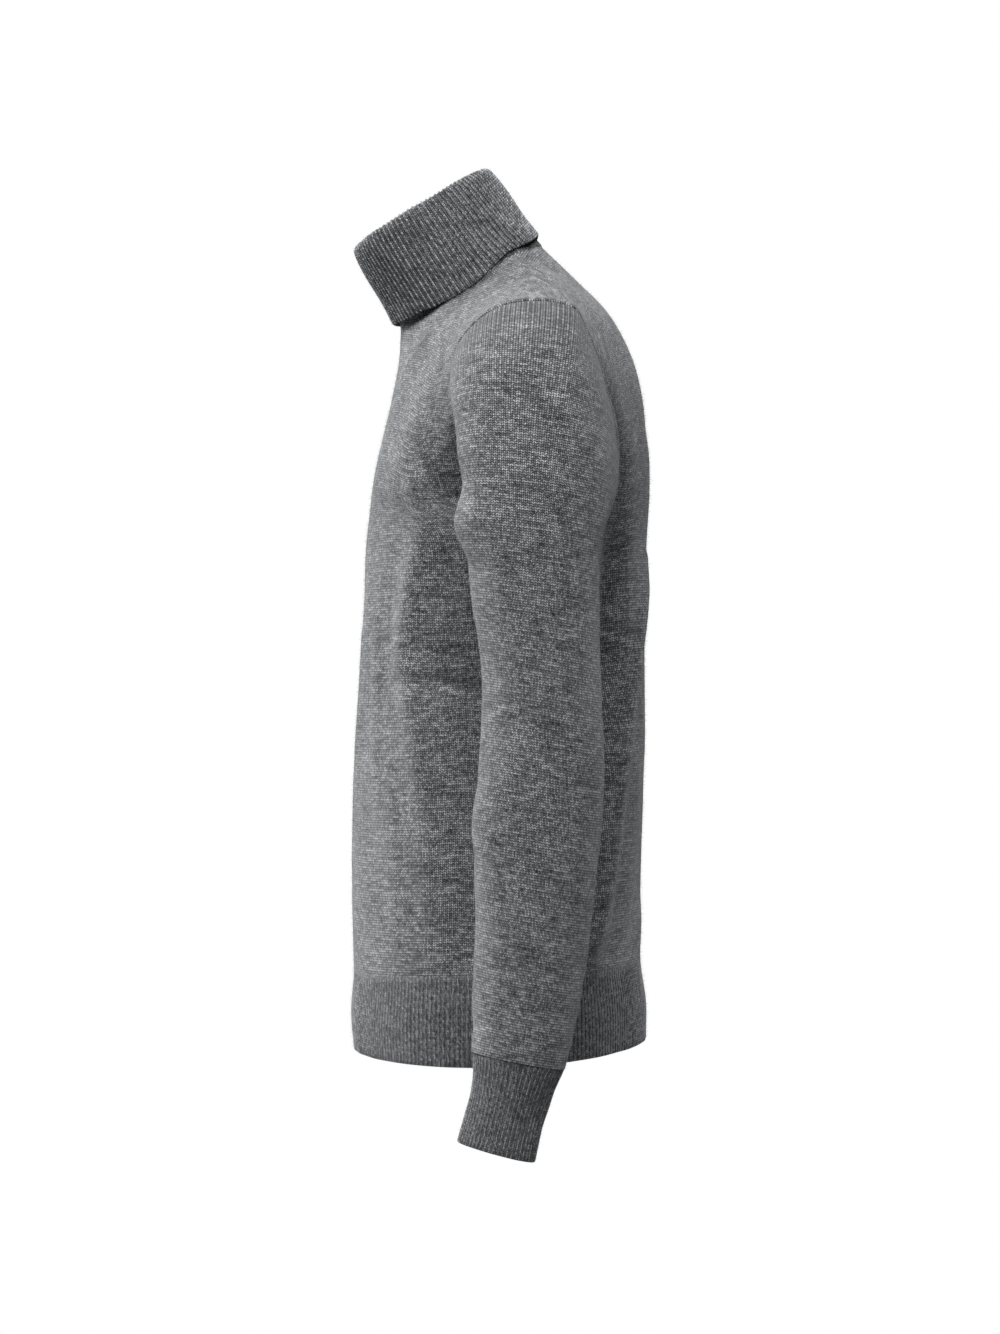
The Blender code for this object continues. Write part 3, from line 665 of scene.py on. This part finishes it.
sleeveCut = {
    # x, y, z, half width, half depth and slope of each ring, in millimetres and degrees
    "rings": [
        (250, 53.4, -239, 46.5, 53.0, 0),
        (253, 57.2, -300, 45.0, 48.6, 0),
        (254.5, 59.3, -361, 43.5, 47.2, 0),
        (255, 57.6, -422, 42.5, 49.2, 1),
        (254, 55.4, -483, 41.5, 48.6, 2),
        (252, 51.5, -545, 39.5, 44.5, 4),
        (249, 46.4, -601, 38.0, 41.9, 7),
        (247, 41.3, -637, 35.5, 37.8, 11),
    ],
    # the ways in which the cap leaves the armhole and reaches the first ring
    "leaveUnder": np.array((0.5, 0, -0.87)),
    "leaveOver": np.array((0.94, 0, -0.35)),
    "leaveSpread": 0.12,
    "reach": np.array((0.06, 0, -1)),
    "reachSpread": 0.16,
    "pull": 1.15,
    "around": 130,  # columns of the mesh, rows of the cap, and rows from each ring to the next
    "capRows": 40,
    "ringSteps": 17,
    "edgeCap": 0.02,  # widths of the strips with extra rows at the armhole and at the cuff
    "edgeRings": 0.05,
    "girth": 0.295,
    "swing": 0.028,  # how far back the right arm hangs, for each metre down
    "drawn": 0.055,  # how far the drawn-in wales run below the seam
    "headDip": 0.0032,  # how deep the head dips into its seam, and over what width
    "headWidth": 0.0045,
    "level": 0.045,  # nearer to the armhole than this, the bulges fade
    "creasesFromSeam": 0.02,
    "unevenness": (0.0007, 0.04, 5),
    # share of the way round from the inner side, by the front; z and height in millimetres; the width
    # round as a share, and the width up in millimetres
    "bulges": [
        (0.25, -214, 6, 0.13, 20),
        (0.24, -178, -6, 0.12, 18),
        (0.22, -140, -6.5, 0.12, 26),
        (0.25, -452, 3, 0.12, 30),
        (0.36, -335, -2.5, 0.12, 35),
        (0.70, -400, 3, 0.14, 60),
    ],
    "creases": [
        (9, (0.2, -232, -1.6), (0.34, -252, -1.6)),
        (10, (0.16, -262, 1.2), (0.3, -290, 1.2)),
        (9, (0.2, -425, -1), (0.36, -408, -1)),
        (10, (0.18, -470, -1.2), (0.34, -484, -1.2)),
        (12, (0.22, -556, 1), (0.4, -548, 1)),
        (9, (0.2, -612, -1.2), (0.44, -602, -1.2)),
        (10, (0.56, -598, -1.2), (0.8, -612, -1.2)),
        (14, (0.62, -480, 1.4), (0.74, -560, 1.4)),
        (16, (0.54, -170, 1.2), (0.6, -300, 1.2)),
        (14, (0.72, -140, -1.6), (0.76, -230, -1.6)),
        (14, (0.86, -300, 1.6), (0.94, -400, 1.6)),
        (14, (0.04, -330, -1.4), (0.1, -440, -1.4)),
    ],
}


def ringOf(ring, shares):
    # a sleeve ring at shares of the way round: inner side, front, outer side, back
    x, y, z, halfWidth, halfDepth, lean = ring
    angle, slope = 2 * math.pi * shares, math.radians(lean)
    backward = -halfDepth * np.sin(angle)
    points = [x - halfWidth * np.cos(angle), y + backward * math.cos(slope), z - backward * math.sin(slope)]
    return mm * np.stack(points, axis=1)


def armhole(front, back):
    # up the front from the underarm, then down the back
    line = np.concatenate([front[underarm:, -1], back[-2:underarm:-1, 0]])
    closed = np.concatenate([line, line[:1]])
    return atShares(closed, np.arange(sleeveCut["around"]) / sleeveCut["around"])


def sleeve(ring):
    # from the armhole down: a cap that turns out and down, then the rings; rows go up from the cuff
    cut = sleeveCut
    shares = np.arange(len(ring)) / len(ring)
    angle = 2 * math.pi * shares
    outer = ((1 - np.cos(angle)) / 2)[:, None]
    below = ringOf(cut["rings"][0], shares)
    sideways = np.sin(angle)[:, None] * (0, 1, 0)
    leave = cut["leaveUnder"] + outer * (cut["leaveOver"] - cut["leaveUnder"])
    leave = unit(leave - cut["leaveSpread"] * sideways)
    arrive = unit(cut["reach"] + cut["reachSpread"] * sideways)
    pull = np.linalg.norm(below - ring, axis=1)[:, None] * cut["pull"]
    cap = []
    for t in withEdges(np.linspace(0, 1, cut["capRows"] + 1), cut["edgeCap"], (True, False)):
        start = (2 * t**3 - 3 * t**2 + 1) * ring + (t**3 - 2 * t**2 + t) * pull * leave
        cap.append(start + (3 * t**2 - 2 * t**3) * below + (t**3 - t**2) * pull * arrive)
    rings = [ringOf(row, shares) for row in cut["rings"]]
    places = np.linspace(0, len(rings) - 1, cut["ringSteps"] * (len(rings) - 1) + 1)[1:]
    lower = along(rings, withEdges(places, cut["edgeRings"], (False, True)))
    points = np.concatenate([cap, lower])[::-1]
    height = np.zeros(points.shape[:2])
    for around, z, tall, aroundWidth, zWidth in cut["bulges"]:
        off = (shares - around) / aroundWidth
        rise = (points[..., 2] / mm - z) / zWidth
        height += tall * mm * np.exp(-(off**2) - rise**2)
    shares = np.broadcast_to(shares, height.shape)
    small = foldHeights(shares, points[..., 2], cut["creases"], cut["girth"], closed=True)
    small += ripple(points, *cut["unevenness"])
    run = travelled(points)
    height *= smoothStep((run[-1] - run) / cut["level"])
    height += small * smoothStep(np.minimum(run, run[-1] - run) / cut["creasesFromSeam"])
    return pushed(points, height, closed=True)


def mirrored(points):
    return points[:, ::-1] * (-1, 1, 1)


def rightArm(points):
    # the left arm's mirror image, which hangs a little further back
    moved = mirrored(points)
    moved[..., 1] += sleeveCut["swing"] * (sleeveCut["rings"][0][2] * mm - moved[..., 2]).clip(0)
    return moved


def addSleeve(node, points):
    columns, run = points.shape[1], travelled(points)
    fromUnderarm = (1 - np.cos(2 * math.pi * np.arange(columns) / columns)) / 2
    sink = sleeveCut["headDip"] * fromUnderarm * (1 - smoothStep((run[-1] - run) / sleeveCut["headWidth"]))
    across = np.arange(columns + 1) / columns * sleeveCut["girth"]
    piece = addCloth(node, points, sink, bodyCut["wall"], across, True)
    addValues(piece, "nearSeam", np.exp(-(((run[-1] - run) / sleeveCut["drawn"]) ** 2)))
    finish(piece, jerseyWool, "jersey_knit", node)


leftPoints = sleeve(armhole(frontPoints, backPoints))
rightPoints = rightArm(sleeve(armhole(mirrored(frontPoints), mirrored(backPoints))))
addSleeve("left_sleeve", leftPoints)
addSleeve("right_sleeve", rightPoints)
print("sleeves knitted")


def newTree(name, inputs, output):
    # a node tree with named inputs: a number is an input's default, and a word its kind
    tree = bpy.data.node_groups.new(name, "GeometryNodeTree")
    for label, given in inputs.items():
        kind = given if isinstance(given, str) else type(given).__name__.capitalize()
        socket = tree.interface.new_socket(name=label, in_out="INPUT", socket_type="NodeSocket" + kind)
        if kind != given:
            socket.default_value = given
    tree.interface.new_socket(name=output, in_out="OUTPUT", socket_type="NodeSocketGeometry")
    return tree, tree.nodes.new("NodeGroupInput").outputs


def endTree(tree, geometry, material):
    # every copy becomes real, and takes its material
    real = addNode(tree, "GeometryNodeRealizeInstances", [geometry])
    painted = addNode(tree, "GeometryNodeSetMaterial", {"Geometry": real, "Material": material})
    addNode(tree, "NodeGroupOutput", [painted])
    return tree


def addCopies(tree, points, source, inputs):
    # a copy of a small object at every point
    shape = addNode(tree, "GeometryNodeObjectInfo", {"Object": source}).outputs["Geometry"]
    return addNode(tree, "GeometryNodeInstanceOnPoints", {"Points": points, "Instance": shape, **inputs})


def runTree(piece, tree, settings):
    # runs a node tree on a piece and keeps its result as a plain mesh
    modifier = piece.modifiers.new(tree.name, "NODES")
    modifier.node_group = tree
    for item in tree.interface.items_tree:
        if item.in_out == "INPUT" and item.name in settings:
            modifier[item.identifier] = settings[item.name]
    bpy.context.view_layer.update()
    graph = bpy.context.evaluated_depsgraph_get()
    result = piece.evaluated_get(graph)
    mesh = bpy.data.meshes.new_from_object(result, preserve_all_data_layers=True, depsgraph=graph)
    piece.modifiers.clear()
    old, piece.data = piece.data, mesh
    mesh.name = piece.name
    bpy.data.meshes.remove(old)


def ribTree():
    sizes = {"Rib Height": 0.001, "Ridge Fullness": 0.6, "Ridge Width": 0.58, "Purl Height": 0.5}
    tree, given = newTree("rib_knit", {"Cloth": "Geometry", **sizes, "Wool": "Material"}, "Cloth")
    sums, times, less, _ = mathNodes(tree)

    def attribute(name, kind="FLOAT"):
        node = addNode(tree, "GeometryNodeInputNamedAttribute", {"Name": name}, data_type=kind)
        return node.outputs["Attribute"]

    # a knit wale stands high and a purl wale low in each rib, with a narrow groove on both sides
    width = given["Ridge Width"]
    wales = ribWales(tree, sums("FRACT", attribute("ribPlace")), width, less(1.0, width))
    knit, purl = (sums("POWER", sums("MAXIMUM", wale, 0.0), given["Ridge Fullness"]) for wale in wales)
    ridge = sums("MAXIMUM", knit, times(purl, given["Purl Height"]))
    tall = times(times(ridge, given["Rib Height"]), attribute("ribShare"))
    outward = {0: attribute("outward", "FLOAT_VECTOR"), "Scale": tall}
    push = addNode(tree, "ShaderNodeVectorMath", outward, operation="SCALE")
    move = addNode(tree, "GeometryNodeSetPosition", {"Geometry": given["Cloth"], "Offset": push})
    return endTree(tree, move, given["Wool"])


ribs = ribTree()


def addRibbed(node, base, look, closed):
    # base lies at the height of the ribs' ridges, with rows from the free edge up
    columns, run = base.shape[1], travelled(base)
    # ribs grow out of the plain cloth
    grown = smoothStep((run[-1] - run + look["pastSeam"]) / look["growth"])
    sink = look["height"] * grown
    if not closed:
        sink = sink + roll(fromSides(base), look["sideRadius"])
    across = np.arange(columns + closed) / look["perRib"] * 2 * wool["wale"]
    piece = addCloth(node, base, sink, look["wall"], across, closed, look["edge"])
    outsides[node] = (base[:: look["fibreRows"], ::3], closed)
    places = np.broadcast_to(np.arange(columns) / look["perRib"], run.shape)
    values = {"ribPlace": places, "ribShare": grown, "outward": gridNormals(base, closed)}
    for name in values:
        addValues(piece, name, values[name])
    form = {"Rib Height": look["height"], "Ridge Fullness": look["fullness"], "Purl Height": look["purl"]}
    runTree(piece, ribs, {**form, "Ridge Width": wool["ridge"], "Wool": look["wool"]})
    for name in values:
        piece.data.attributes.remove(piece.data.attributes[name])
    finish(piece, look["wool"], "rib_knit", node)


lowRib = {
    "wool": shadedLowRibWool,
    "height": 0.0010,
    "purl": 0.35,  # height of a purl wale, of that of a knit one
    "fullness": 0.7,
    "wall": 0.0014,
    "growth": 0.007,  # the ribs rise to their full height over this distance, from a point past the seam
    "pastSeam": 0.001,
    "edge": 0.0008,  # how far the free edge is rounded
    "fibreRows": 2,  # the loose fibres stand on every second row
}
hemCut = {
    **lowRib,
    "seamZ": -0.574,
    "edgeZ": -0.6435,
    "arch": 0.008,  # how much higher the edge is at the front and the back than at the sides
    "halfDepth": 0.125,
    "archLevel": 0.44,  # the share of the arch at which the edge keeps its height
    "ribs": 120,  # on each of the two pieces
    "perRib": 8,
    "rows": 13,
    "sideRadius": 0.0010,
    "unevenness": (0.0009, 0.03, 9),
    "evenNearSeam": 0.02,
}


def hemGrid(facing):
    across = np.linspace(-1, 1, hemCut["ribs"] * hemCut["perRib"] + 1)
    rows = []
    for z in np.linspace(hemCut["edgeZ"], hemCut["seamZ"], hemCut["rows"]):
        row = hemTilt(bodySection(z, across, facing))
        share = (z - hemCut["seamZ"]) / (hemCut["edgeZ"] - hemCut["seamZ"])
        depth = (row[:, 1] - bodyCut["hemMiddle"]) / hemCut["halfDepth"]
        row[:, 2] += hemCut["arch"] * (depth**2 - hemCut["archLevel"]) * share
        rows.append(row)
    points = np.array(rows)
    if facing == "back":
        points = points[:, ::-1]
    run = travelled(points)
    height = ripple(points, *hemCut["unevenness"]) * smoothStep((run[-1] - run) / hemCut["evenNearSeam"])
    return pushed(points, height)


for facing in ("front", "back"):
    addRibbed(facing + "_hem_rib", hemGrid(facing), hemCut, closed=False)
print("hem ribbed")

cuffCut = {
    **lowRib,
    "rings": [
        (247, 41.3, -637, 35.0, 37.2, 11),
        (246, 36.4, -660, 31.4, 32.6, 13),
        (244.5, 30.4, -684, 30.4, 31.4, 14),
        (243, 24.0, -709.5, 31.0, 32.4, 15),
    ],
    "ribs": 54,
    "perRib": 9,
    "rows": 22,
    "unevenness": (0.0008, 0.02, 13),
}


def cuffGrid():
    columns = cuffCut["ribs"] * cuffCut["perRib"]
    rings = [ringOf(row, np.arange(columns) / columns) for row in cuffCut["rings"]]
    points = along(rings, np.linspace(0, len(rings) - 1, cuffCut["rows"]))[::-1]
    return pushed(points, ripple(points, *cuffCut["unevenness"]), closed=True)


addRibbed("left_cuff", cuffGrid(), cuffCut, closed=True)
addRibbed("right_cuff", rightArm(cuffGrid()), cuffCut, closed=True)
print("cuffs ribbed")

collarCut = {
    # y, z, half width, half depth, tilt and how much of the drop,
    # up the neck, over the fold and down the turned layer
    "rings": [
        (3.2, -5.2, 65.6, 65.0, 25, 0),
        (0, 0, 66.0, 65.4, 25, 0),
        (-17.5, 28, 59.6, 58.4, 27, 0),
        (-36.5, 54, 57.4, 58.0, 30.5, 0),
        (-39.8, 60.4, 61.0, 61.4, 31, 0),
        (-38.2, 57.2, 65.8, 67.2, 30.5, 0.05),
        (-28.5, 42.0, 68.4, 69.6, 29.5, 0.2),
        (-13.5, 18.5, 69.6, 70.4, 30, 0.6),
        (-2.2, 1.2, 71.4, 72.2, 32, 1),
    ],
    "rowSteps": (1, 5, 6, 7, 7, 6, 6, 7),
    "foldRing": 4,  # the turned layer starts here
    # how far the turned layer's edge drops, by degrees round from the centre front, in millimetres
    "drops": np.array([(0, 0), (48, 6.4), (70, 11), (91, 11.5), (110, 7), (125, 3), (147, 4.5), (180, 0)]),
    "wool": ribWool,
    "ribs": 92,
    "perRib": 9,
    "fibreRows": 4,
    "sway": 9.0,  # degrees by which the ribs swing back beside the crease over the shoulder
    "swayAt": 126,
    "swayWidth": 26,
    "height": 0.0016,
    "purl": 0.40,
    "fullness": 0.75,
    "wall": 0.0013,
    "growth": 0.004,
    "pastSeam": 0.001,
    "edge": 0.0008,
    "radius": 70,  # turns degrees into millimetres round the collar
    # the crease over each shoulder and a swell beside it: width, then round from the centre front, up from
    # the edge and height, all in millimetres
    "creases": [
        (6, (152, 0, -1), (142, 30, -1)),
        (8, (168, 0, 1.2), (158, 34, 1.2)),
        (6, (-150, 0, -1.5), (-143, 28, -1.5)),
        (8, (-167, 0, 1.2), (-158, 32, 1.2)),
    ],
    "unevenness": (0.0010, 0.035, 17),
    "evenNearSeam": 0.06,
}


def fromFront(degrees):
    # degrees to the left or, below 0, to the right of the centre front
    return (degrees + 180) % 360 - 180


def collarDrop(degrees):
    drops = collarCut["drops"]
    place = np.interp(np.abs(fromFront(degrees)), drops[:, 0], range(len(drops)))
    return along(drops, place)[:, 1] * mm


def collarGrid():
    columns = collarCut["ribs"] * collarCut["perRib"]
    plain = 360 * np.arange(columns) / columns
    turned = fromFront(plain)
    off = (np.abs(turned) - collarCut["swayAt"]) / collarCut["swayWidth"]
    swing = collarCut["sway"] * (np.exp(-(off**2)) * np.sign(turned))
    fold, last, rows = collarCut["foldRing"], len(collarCut["rings"]) - 1, []
    for number, (y, z, halfWidth, halfDepth, tilt, drop) in enumerate(collarCut["rings"]):
        degrees = plain + swing * (max(number - fold, 0) / (last - fold)) ** 2
        points = ringPoint(degrees, y * mm, z * mm, halfWidth * mm, halfDepth * mm, tilt)
        slope = math.radians(tilt)
        rows.append(points + drop * collarDrop(degrees)[:, None] * (0, math.sin(slope), -math.cos(slope)))
    points = along(rows, stepped(collarCut["rowSteps"]))[::-1]
    run = travelled(points)
    around = np.broadcast_to(turned, run.shape) * math.radians(1) * collarCut["radius"]
    height = foldHeights(around, run, collarCut["creases"], mm) + ripple(points, *collarCut["unevenness"])
    return pushed(points, height * smoothStep((run[-1] - run) / collarCut["evenNearSeam"]), closed=True)


addRibbed("collar", collarGrid(), collarCut, closed=True)
print("collar ribbed")

linking = {
    "pitch": 0.0022,
    "length": 0.0011,
    "thickness": 0.0005,
    "slant": 28,
    "apart": 0.0004,  # half the distance between a stitch's legs
    "depth": 0.0016,
    "rings": ((-0.9, 0.4), (0, 1), (0.9, 0.4)),  # place and thickness along a leg, as shares
}
# the linking yarn is the garment's own wool, darkened as painted shade of the seam's crevice
shadedSeamWool = knitMaterial("grey_melange_seam", shade=0.22)


def stitchTree():
    inputs = {"Seam": "Geometry", "Stitch": "Object", "Pitch": 0.002, "Yarn": "Material"}
    tree, given = newTree("linking_stitches", inputs, "Stitches")
    curve = addNode(tree, "GeometryNodeMeshToCurve", {"Mesh": given["Seam"]})
    pitch = {"Curve": curve, "Length": given["Pitch"]}
    even = addNode(tree, "GeometryNodeResampleCurve", pitch, mode="LENGTH")
    way = addNode(tree, "GeometryNodeInputTangent")
    aim = addNode(tree, "FunctionNodeAlignRotationToVector", {"Vector": way}, axis="X")
    return endTree(tree, addCopies(tree, even, given["Stitch"], {"Rotation": aim}), given["Yarn"])


def stitchShape():
    # two slanting legs, each a small four-sided bean
    vertices, faces = [], []
    for sign in (1, -1):
        slant = math.radians(sign * linking["slant"])
        cosine, sine, first = math.cos(slant), math.sin(slant), len(vertices)
        for place, share in linking["rings"]:
            for turn in np.linspace(0, 2 * math.pi, 4, endpoint=False):
                x = place * linking["length"] / 2
                y = share * math.cos(turn) * linking["thickness"] + sign * linking["apart"]
                z = share * math.sin(turn) * linking["thickness"]
                vertices.append((x * cosine - y * sine, x * sine + y * cosine, z))
        for a, b in ((0, 1), (1, 2), (2, 3), (3, 0), (4, 5), (5, 6), (6, 7), (7, 4)):
            faces.append([first + k for k in (a, b, b + 4, a + 4)])
        faces += [[first + k for k in (3, 2, 1, 0)], [first + k for k in (8, 9, 10, 11)]]
    return vertices, faces


def seamEdges(lines):
    # the lines of the seams, a little below the cloth: a grid, the part of it and whether the line is a ring
    vertices, edges = [], []
    for points, part, closed in lines:
        line = pushed(points, np.full(points.shape[:2], -linking["depth"]), closed)[part]
        first, last = len(vertices), len(vertices) + len(line) - 1
        vertices += line.tolist()
        edges += [(k, k + 1) for k in range(first, last)]
        if closed:
            edges.append((last, first))
    return vertices, edges


shoulder = np.abs(frontAcross[-1]) >= frontCut["shares"][frontCut["neckColumns"]] - 1e-6
belowArm = slice(underarm + 1)
seams = seamEdges([
    (leftPoints, -1, True),
    (rightPoints, -1, True),
    (frontPoints, (-1, shoulder & (frontAcross[-1] > 0)), False),
    (frontPoints, (-1, shoulder & (frontAcross[-1] < 0)), False),
    (frontPoints, (belowArm, -1), False),
    (frontPoints, (belowArm, 0), False),
])
stitchSource = plainObject("stitch_shape", *stitchShape())
stitches = plainObject("linking_stitches", seams[0], edges=seams[1])
runTree(stitches, stitchTree(), {"Stitch": stitchSource, "Pitch": linking["pitch"], "Yarn": shadedSeamWool})
bpy.data.objects.remove(stitchSource)
finish(stitches, shadedSeamWool, "jersey_knit")
print("seams linked:", len(stitches.data.polygons), "faces")

fuzz = {
    "density": 60000,  # fibres on a square metre
    "length": 0.0032,
    "thickness": 0.00018,
    "outline": ((-0.5, 0), (0.5, 0), (1, 0.6), (2.5, 1)),  # across in thicknesses, up in lengths
    "scale": (0.5, 1.2),
    "lean": 0.9,  # radians
    "paint": {"Base Color": (0.34, 0.345, 0.355, 1), "Roughness": 1},
    "seed": 4,
    # slot and clothed pieces of each mesh of fibres
    "groups": {
        "body_fibres": ("jersey_knit", "front_panel", "back_panel"),
        "sleeve_fibres": ("jersey_knit", "left_sleeve", "right_sleeve"),
        "rib_fibres": ("rib_knit", "collar", "front_hem_rib", "back_hem_rib", "left_cuff", "right_cuff"),
    },
}
fibreWool = plainMaterial("grey_loose_fibre", fuzz["paint"])


def fuzzTree():
    sizes = {"Density": 10000.0, "Lean": 0.5, "Seed": 1}
    inputs = {"Cloth": "Geometry", "Fibre": "Object", **sizes, "Wool": "Material"}
    tree, given = newTree("loose_fibres", inputs, "Fibres")

    def chance(lowest, highest, seed):
        limits = {2: lowest, 3: highest, "Seed": seed}  # inputs 2 and 3 are the limits of a plain number
        return addNode(tree, "FunctionNodeRandomValue", limits, data_type="FLOAT").outputs[1]

    onCloth = {"Mesh": given["Cloth"], "Density": given["Density"], "Seed": given["Seed"]}
    roots = addNode(tree, "GeometryNodeDistributePointsOnFaces", onCloth)
    lean = given["Lean"]
    leanBack = addNode(tree, "ShaderNodeMath", [lean, -1], operation="MULTIPLY")
    tilt = [chance(leanBack, lean, 1), chance(leanBack, lean, 2), chance(0.0, 2 * math.pi, 3)]
    turn = addNode(tree, "FunctionNodeEulerToRotation", [addNode(tree, "ShaderNodeCombineXYZ", tilt)])
    leaning = {"Rotation": roots.outputs["Rotation"], "Rotate By": turn}
    aim = addNode(tree, "FunctionNodeRotateRotation", leaning, rotation_space="LOCAL")
    copies = {"Rotation": aim, "Scale": chance(*fuzz["scale"], 4)}
    return endTree(tree, addCopies(tree, roots.outputs["Points"], given["Fibre"], copies), given["Wool"])


def outsideMesh(nodes):
    # the outer faces of some pieces as one mesh
    vertices, faces = [], []
    for node in nodes:
        points, closed = outsides[node]
        rows, columns = points.shape[:2]
        grid = gridFaces(rows, columns, rows - 1, columns if closed else columns - 1)[1]
        faces += (grid + len(vertices)).tolist()
        vertices += points.reshape(-1, 3).tolist()
    return vertices, faces


outline = [(x * fuzz["thickness"], 0, z * fuzz["length"]) for x, z in fuzz["outline"]]
fibre = plainObject("fibre", outline, [(0, 1, 2), (0, 2, 3)])
fibres = fuzzTree()
for number, (name, (slot, *nodes)) in enumerate(fuzz["groups"].items()):
    piece = plainObject(name, *outsideMesh(nodes))
    settings = {"Density": fuzz["density"], "Lean": fuzz["lean"], "Seed": fuzz["seed"] + number}
    runTree(piece, fibres, {**settings, "Fibre": fibre, "Wool": fibreWool})
    finish(piece, fibreWool, slot)
    print(name, len(piece.data.polygons), "faces")
bpy.data.objects.remove(fibre)

# width, length and area of each piece in metres, and what it lies against
clothSizes = {
    "collar": (0.42, 0.15, None, ["front_panel", "back_panel"]),
    "front_panel": (0.60, 0.62, 0.30, ["collar", "back_panel"]),
    "back_panel": (0.50, 0.64, 0.27, ["collar", "front_panel"]),
    "left_sleeve": (0.34, 0.60, 0.165, ["front_panel", "back_panel"]),
    "right_sleeve": (0.34, 0.60, 0.165, ["front_panel", "back_panel"]),
    "front_hem_rib": (0.50, 0.07, None, ["front_panel"]),
    "back_hem_rib": (0.50, 0.07, None, ["back_panel"]),
    "left_cuff": (0.22, 0.075, None, ["left_sleeve"]),
    "right_cuff": (0.22, 0.075, None, ["right_sleeve"]),
}
for node, (width, length, area, rests) in clothSizes.items():
    piece, against = bpy.data.objects[node + "_cloth"], [other + "_cloth" for other in rests]
    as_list(against)

studio = {
    "floorZ": -1.45,  # the floor that a wearer would stand on
    "floorRadius": 1.5,
    "floorCorners": 96,
    "floorPaint": {"Base Color": (0.32, 0.32, 0.32, 1), "Roughness": 0.9},
    "white": 1.0,
    "farFill": 0.55,  # light of the background behind the garment, which shows as rims
    # direction towards each soft light, strength, spread in degrees
    "suns": {
        "front_far_soft": ((-0.70, -0.60, 0.35), 1.0, 60),
        "front_soft": ((-0.45, -0.80, 0.40), 3.0, 40),
        "top_front_soft": ((0.35, -0.35, 0.87), 1.0, 50),
        "top_side_soft": ((0.60, 0.00, 0.80), 1.95, 50),
        "near_side_soft": ((0.60, -0.30, 0.74), 1.55, 35),
        "top_back_soft": ((-0.10, 0.32, 0.94), 1.1, 50),
        "back_far_soft": ((-0.85, 0.50, 0.20), 0.4, 50),
    },
}


def addFloor():
    corners, radius = studio["floorCorners"], studio["floorRadius"]
    turns = [2 * math.pi * k / corners for k in range(corners)]
    rim = [(radius * math.cos(turn), radius * math.sin(turn), studio["floorZ"]) for turn in turns]
    floor = plainObject("studio_floor", rim, [range(corners)])
    floor.data.materials.append(plainMaterial("studio_white", studio["floorPaint"]))
    return floor


def addWorld():
    # the background is seen white, and lights the cloth less than it shows
    world = bpy.data.worlds.new("studio")
    world.use_nodes = True
    tree = world.node_tree
    direction = addNode(tree, "ShaderNodeTexCoord").outputs["Generated"]
    x = addNode(tree, "ShaderNodeSeparateXYZ", [direction])
    away = {"Value": x, "From Min": 0, "From Max": -1, "To Max": studio["farFill"]}
    fill = addNode(tree, "ShaderNodeMapRange", away)
    seen = addNode(tree, "ShaderNodeLightPath").outputs["Is Camera Ray"]
    level = addNode(tree, "ShaderNodeMapRange", {"Value": seen, "To Min": fill, "To Max": studio["white"]})
    setInputs(tree.nodes["Background"], {"Color": (1, 1, 1, 1), "Strength": level})
    bpy.context.scene.world = world


def addSuns():
    for name, (towards, strength, spread) in studio["suns"].items():
        light = bpy.data.lights.new(name, "SUN")
        light.energy = strength
        light.angle = math.radians(spread)
        lamp = bpy.data.objects.new(name, light)
        lamp.rotation_euler = (-Vector(towards)).to_track_quat("-Z", "Y").to_euler()
        bpy.context.scene.collection.objects.link(lamp)


cameraSet = {"distance": 4.5, "y": 0.0269, "z": -0.325, "frameHeight": 1.12056, "sensor": 36}


def addCamera():
    data = bpy.data.cameras.new("camera")
    data.sensor_fit = "AUTO"
    data.sensor_width = cameraSet["sensor"]
    data.lens = cameraSet["sensor"] * cameraSet["distance"] / cameraSet["frameHeight"]
    camera = bpy.data.objects.new("camera", data)
    camera.location = (cameraSet["distance"], cameraSet["y"], cameraSet["z"])
    camera.rotation_euler = (math.radians(90), 0, math.radians(90))
    bpy.context.scene.collection.objects.link(camera)
    bpy.context.scene.camera = camera


studioFloor = addFloor()
addWorld()
addSuns()
addCamera()
bpy.context.scene.view_settings.view_transform = "Standard"
print("studio lit")

triangles = {}
for piece in bpy.data.objects:
    if piece.type == "MESH" and not piece.hide_render and piece != studioFloor:
        triangles[piece.name] = sum(len(face.vertices) - 2 for face in piece.data.polygons)
print("triangles:", sum(triangles.values()), triangles)
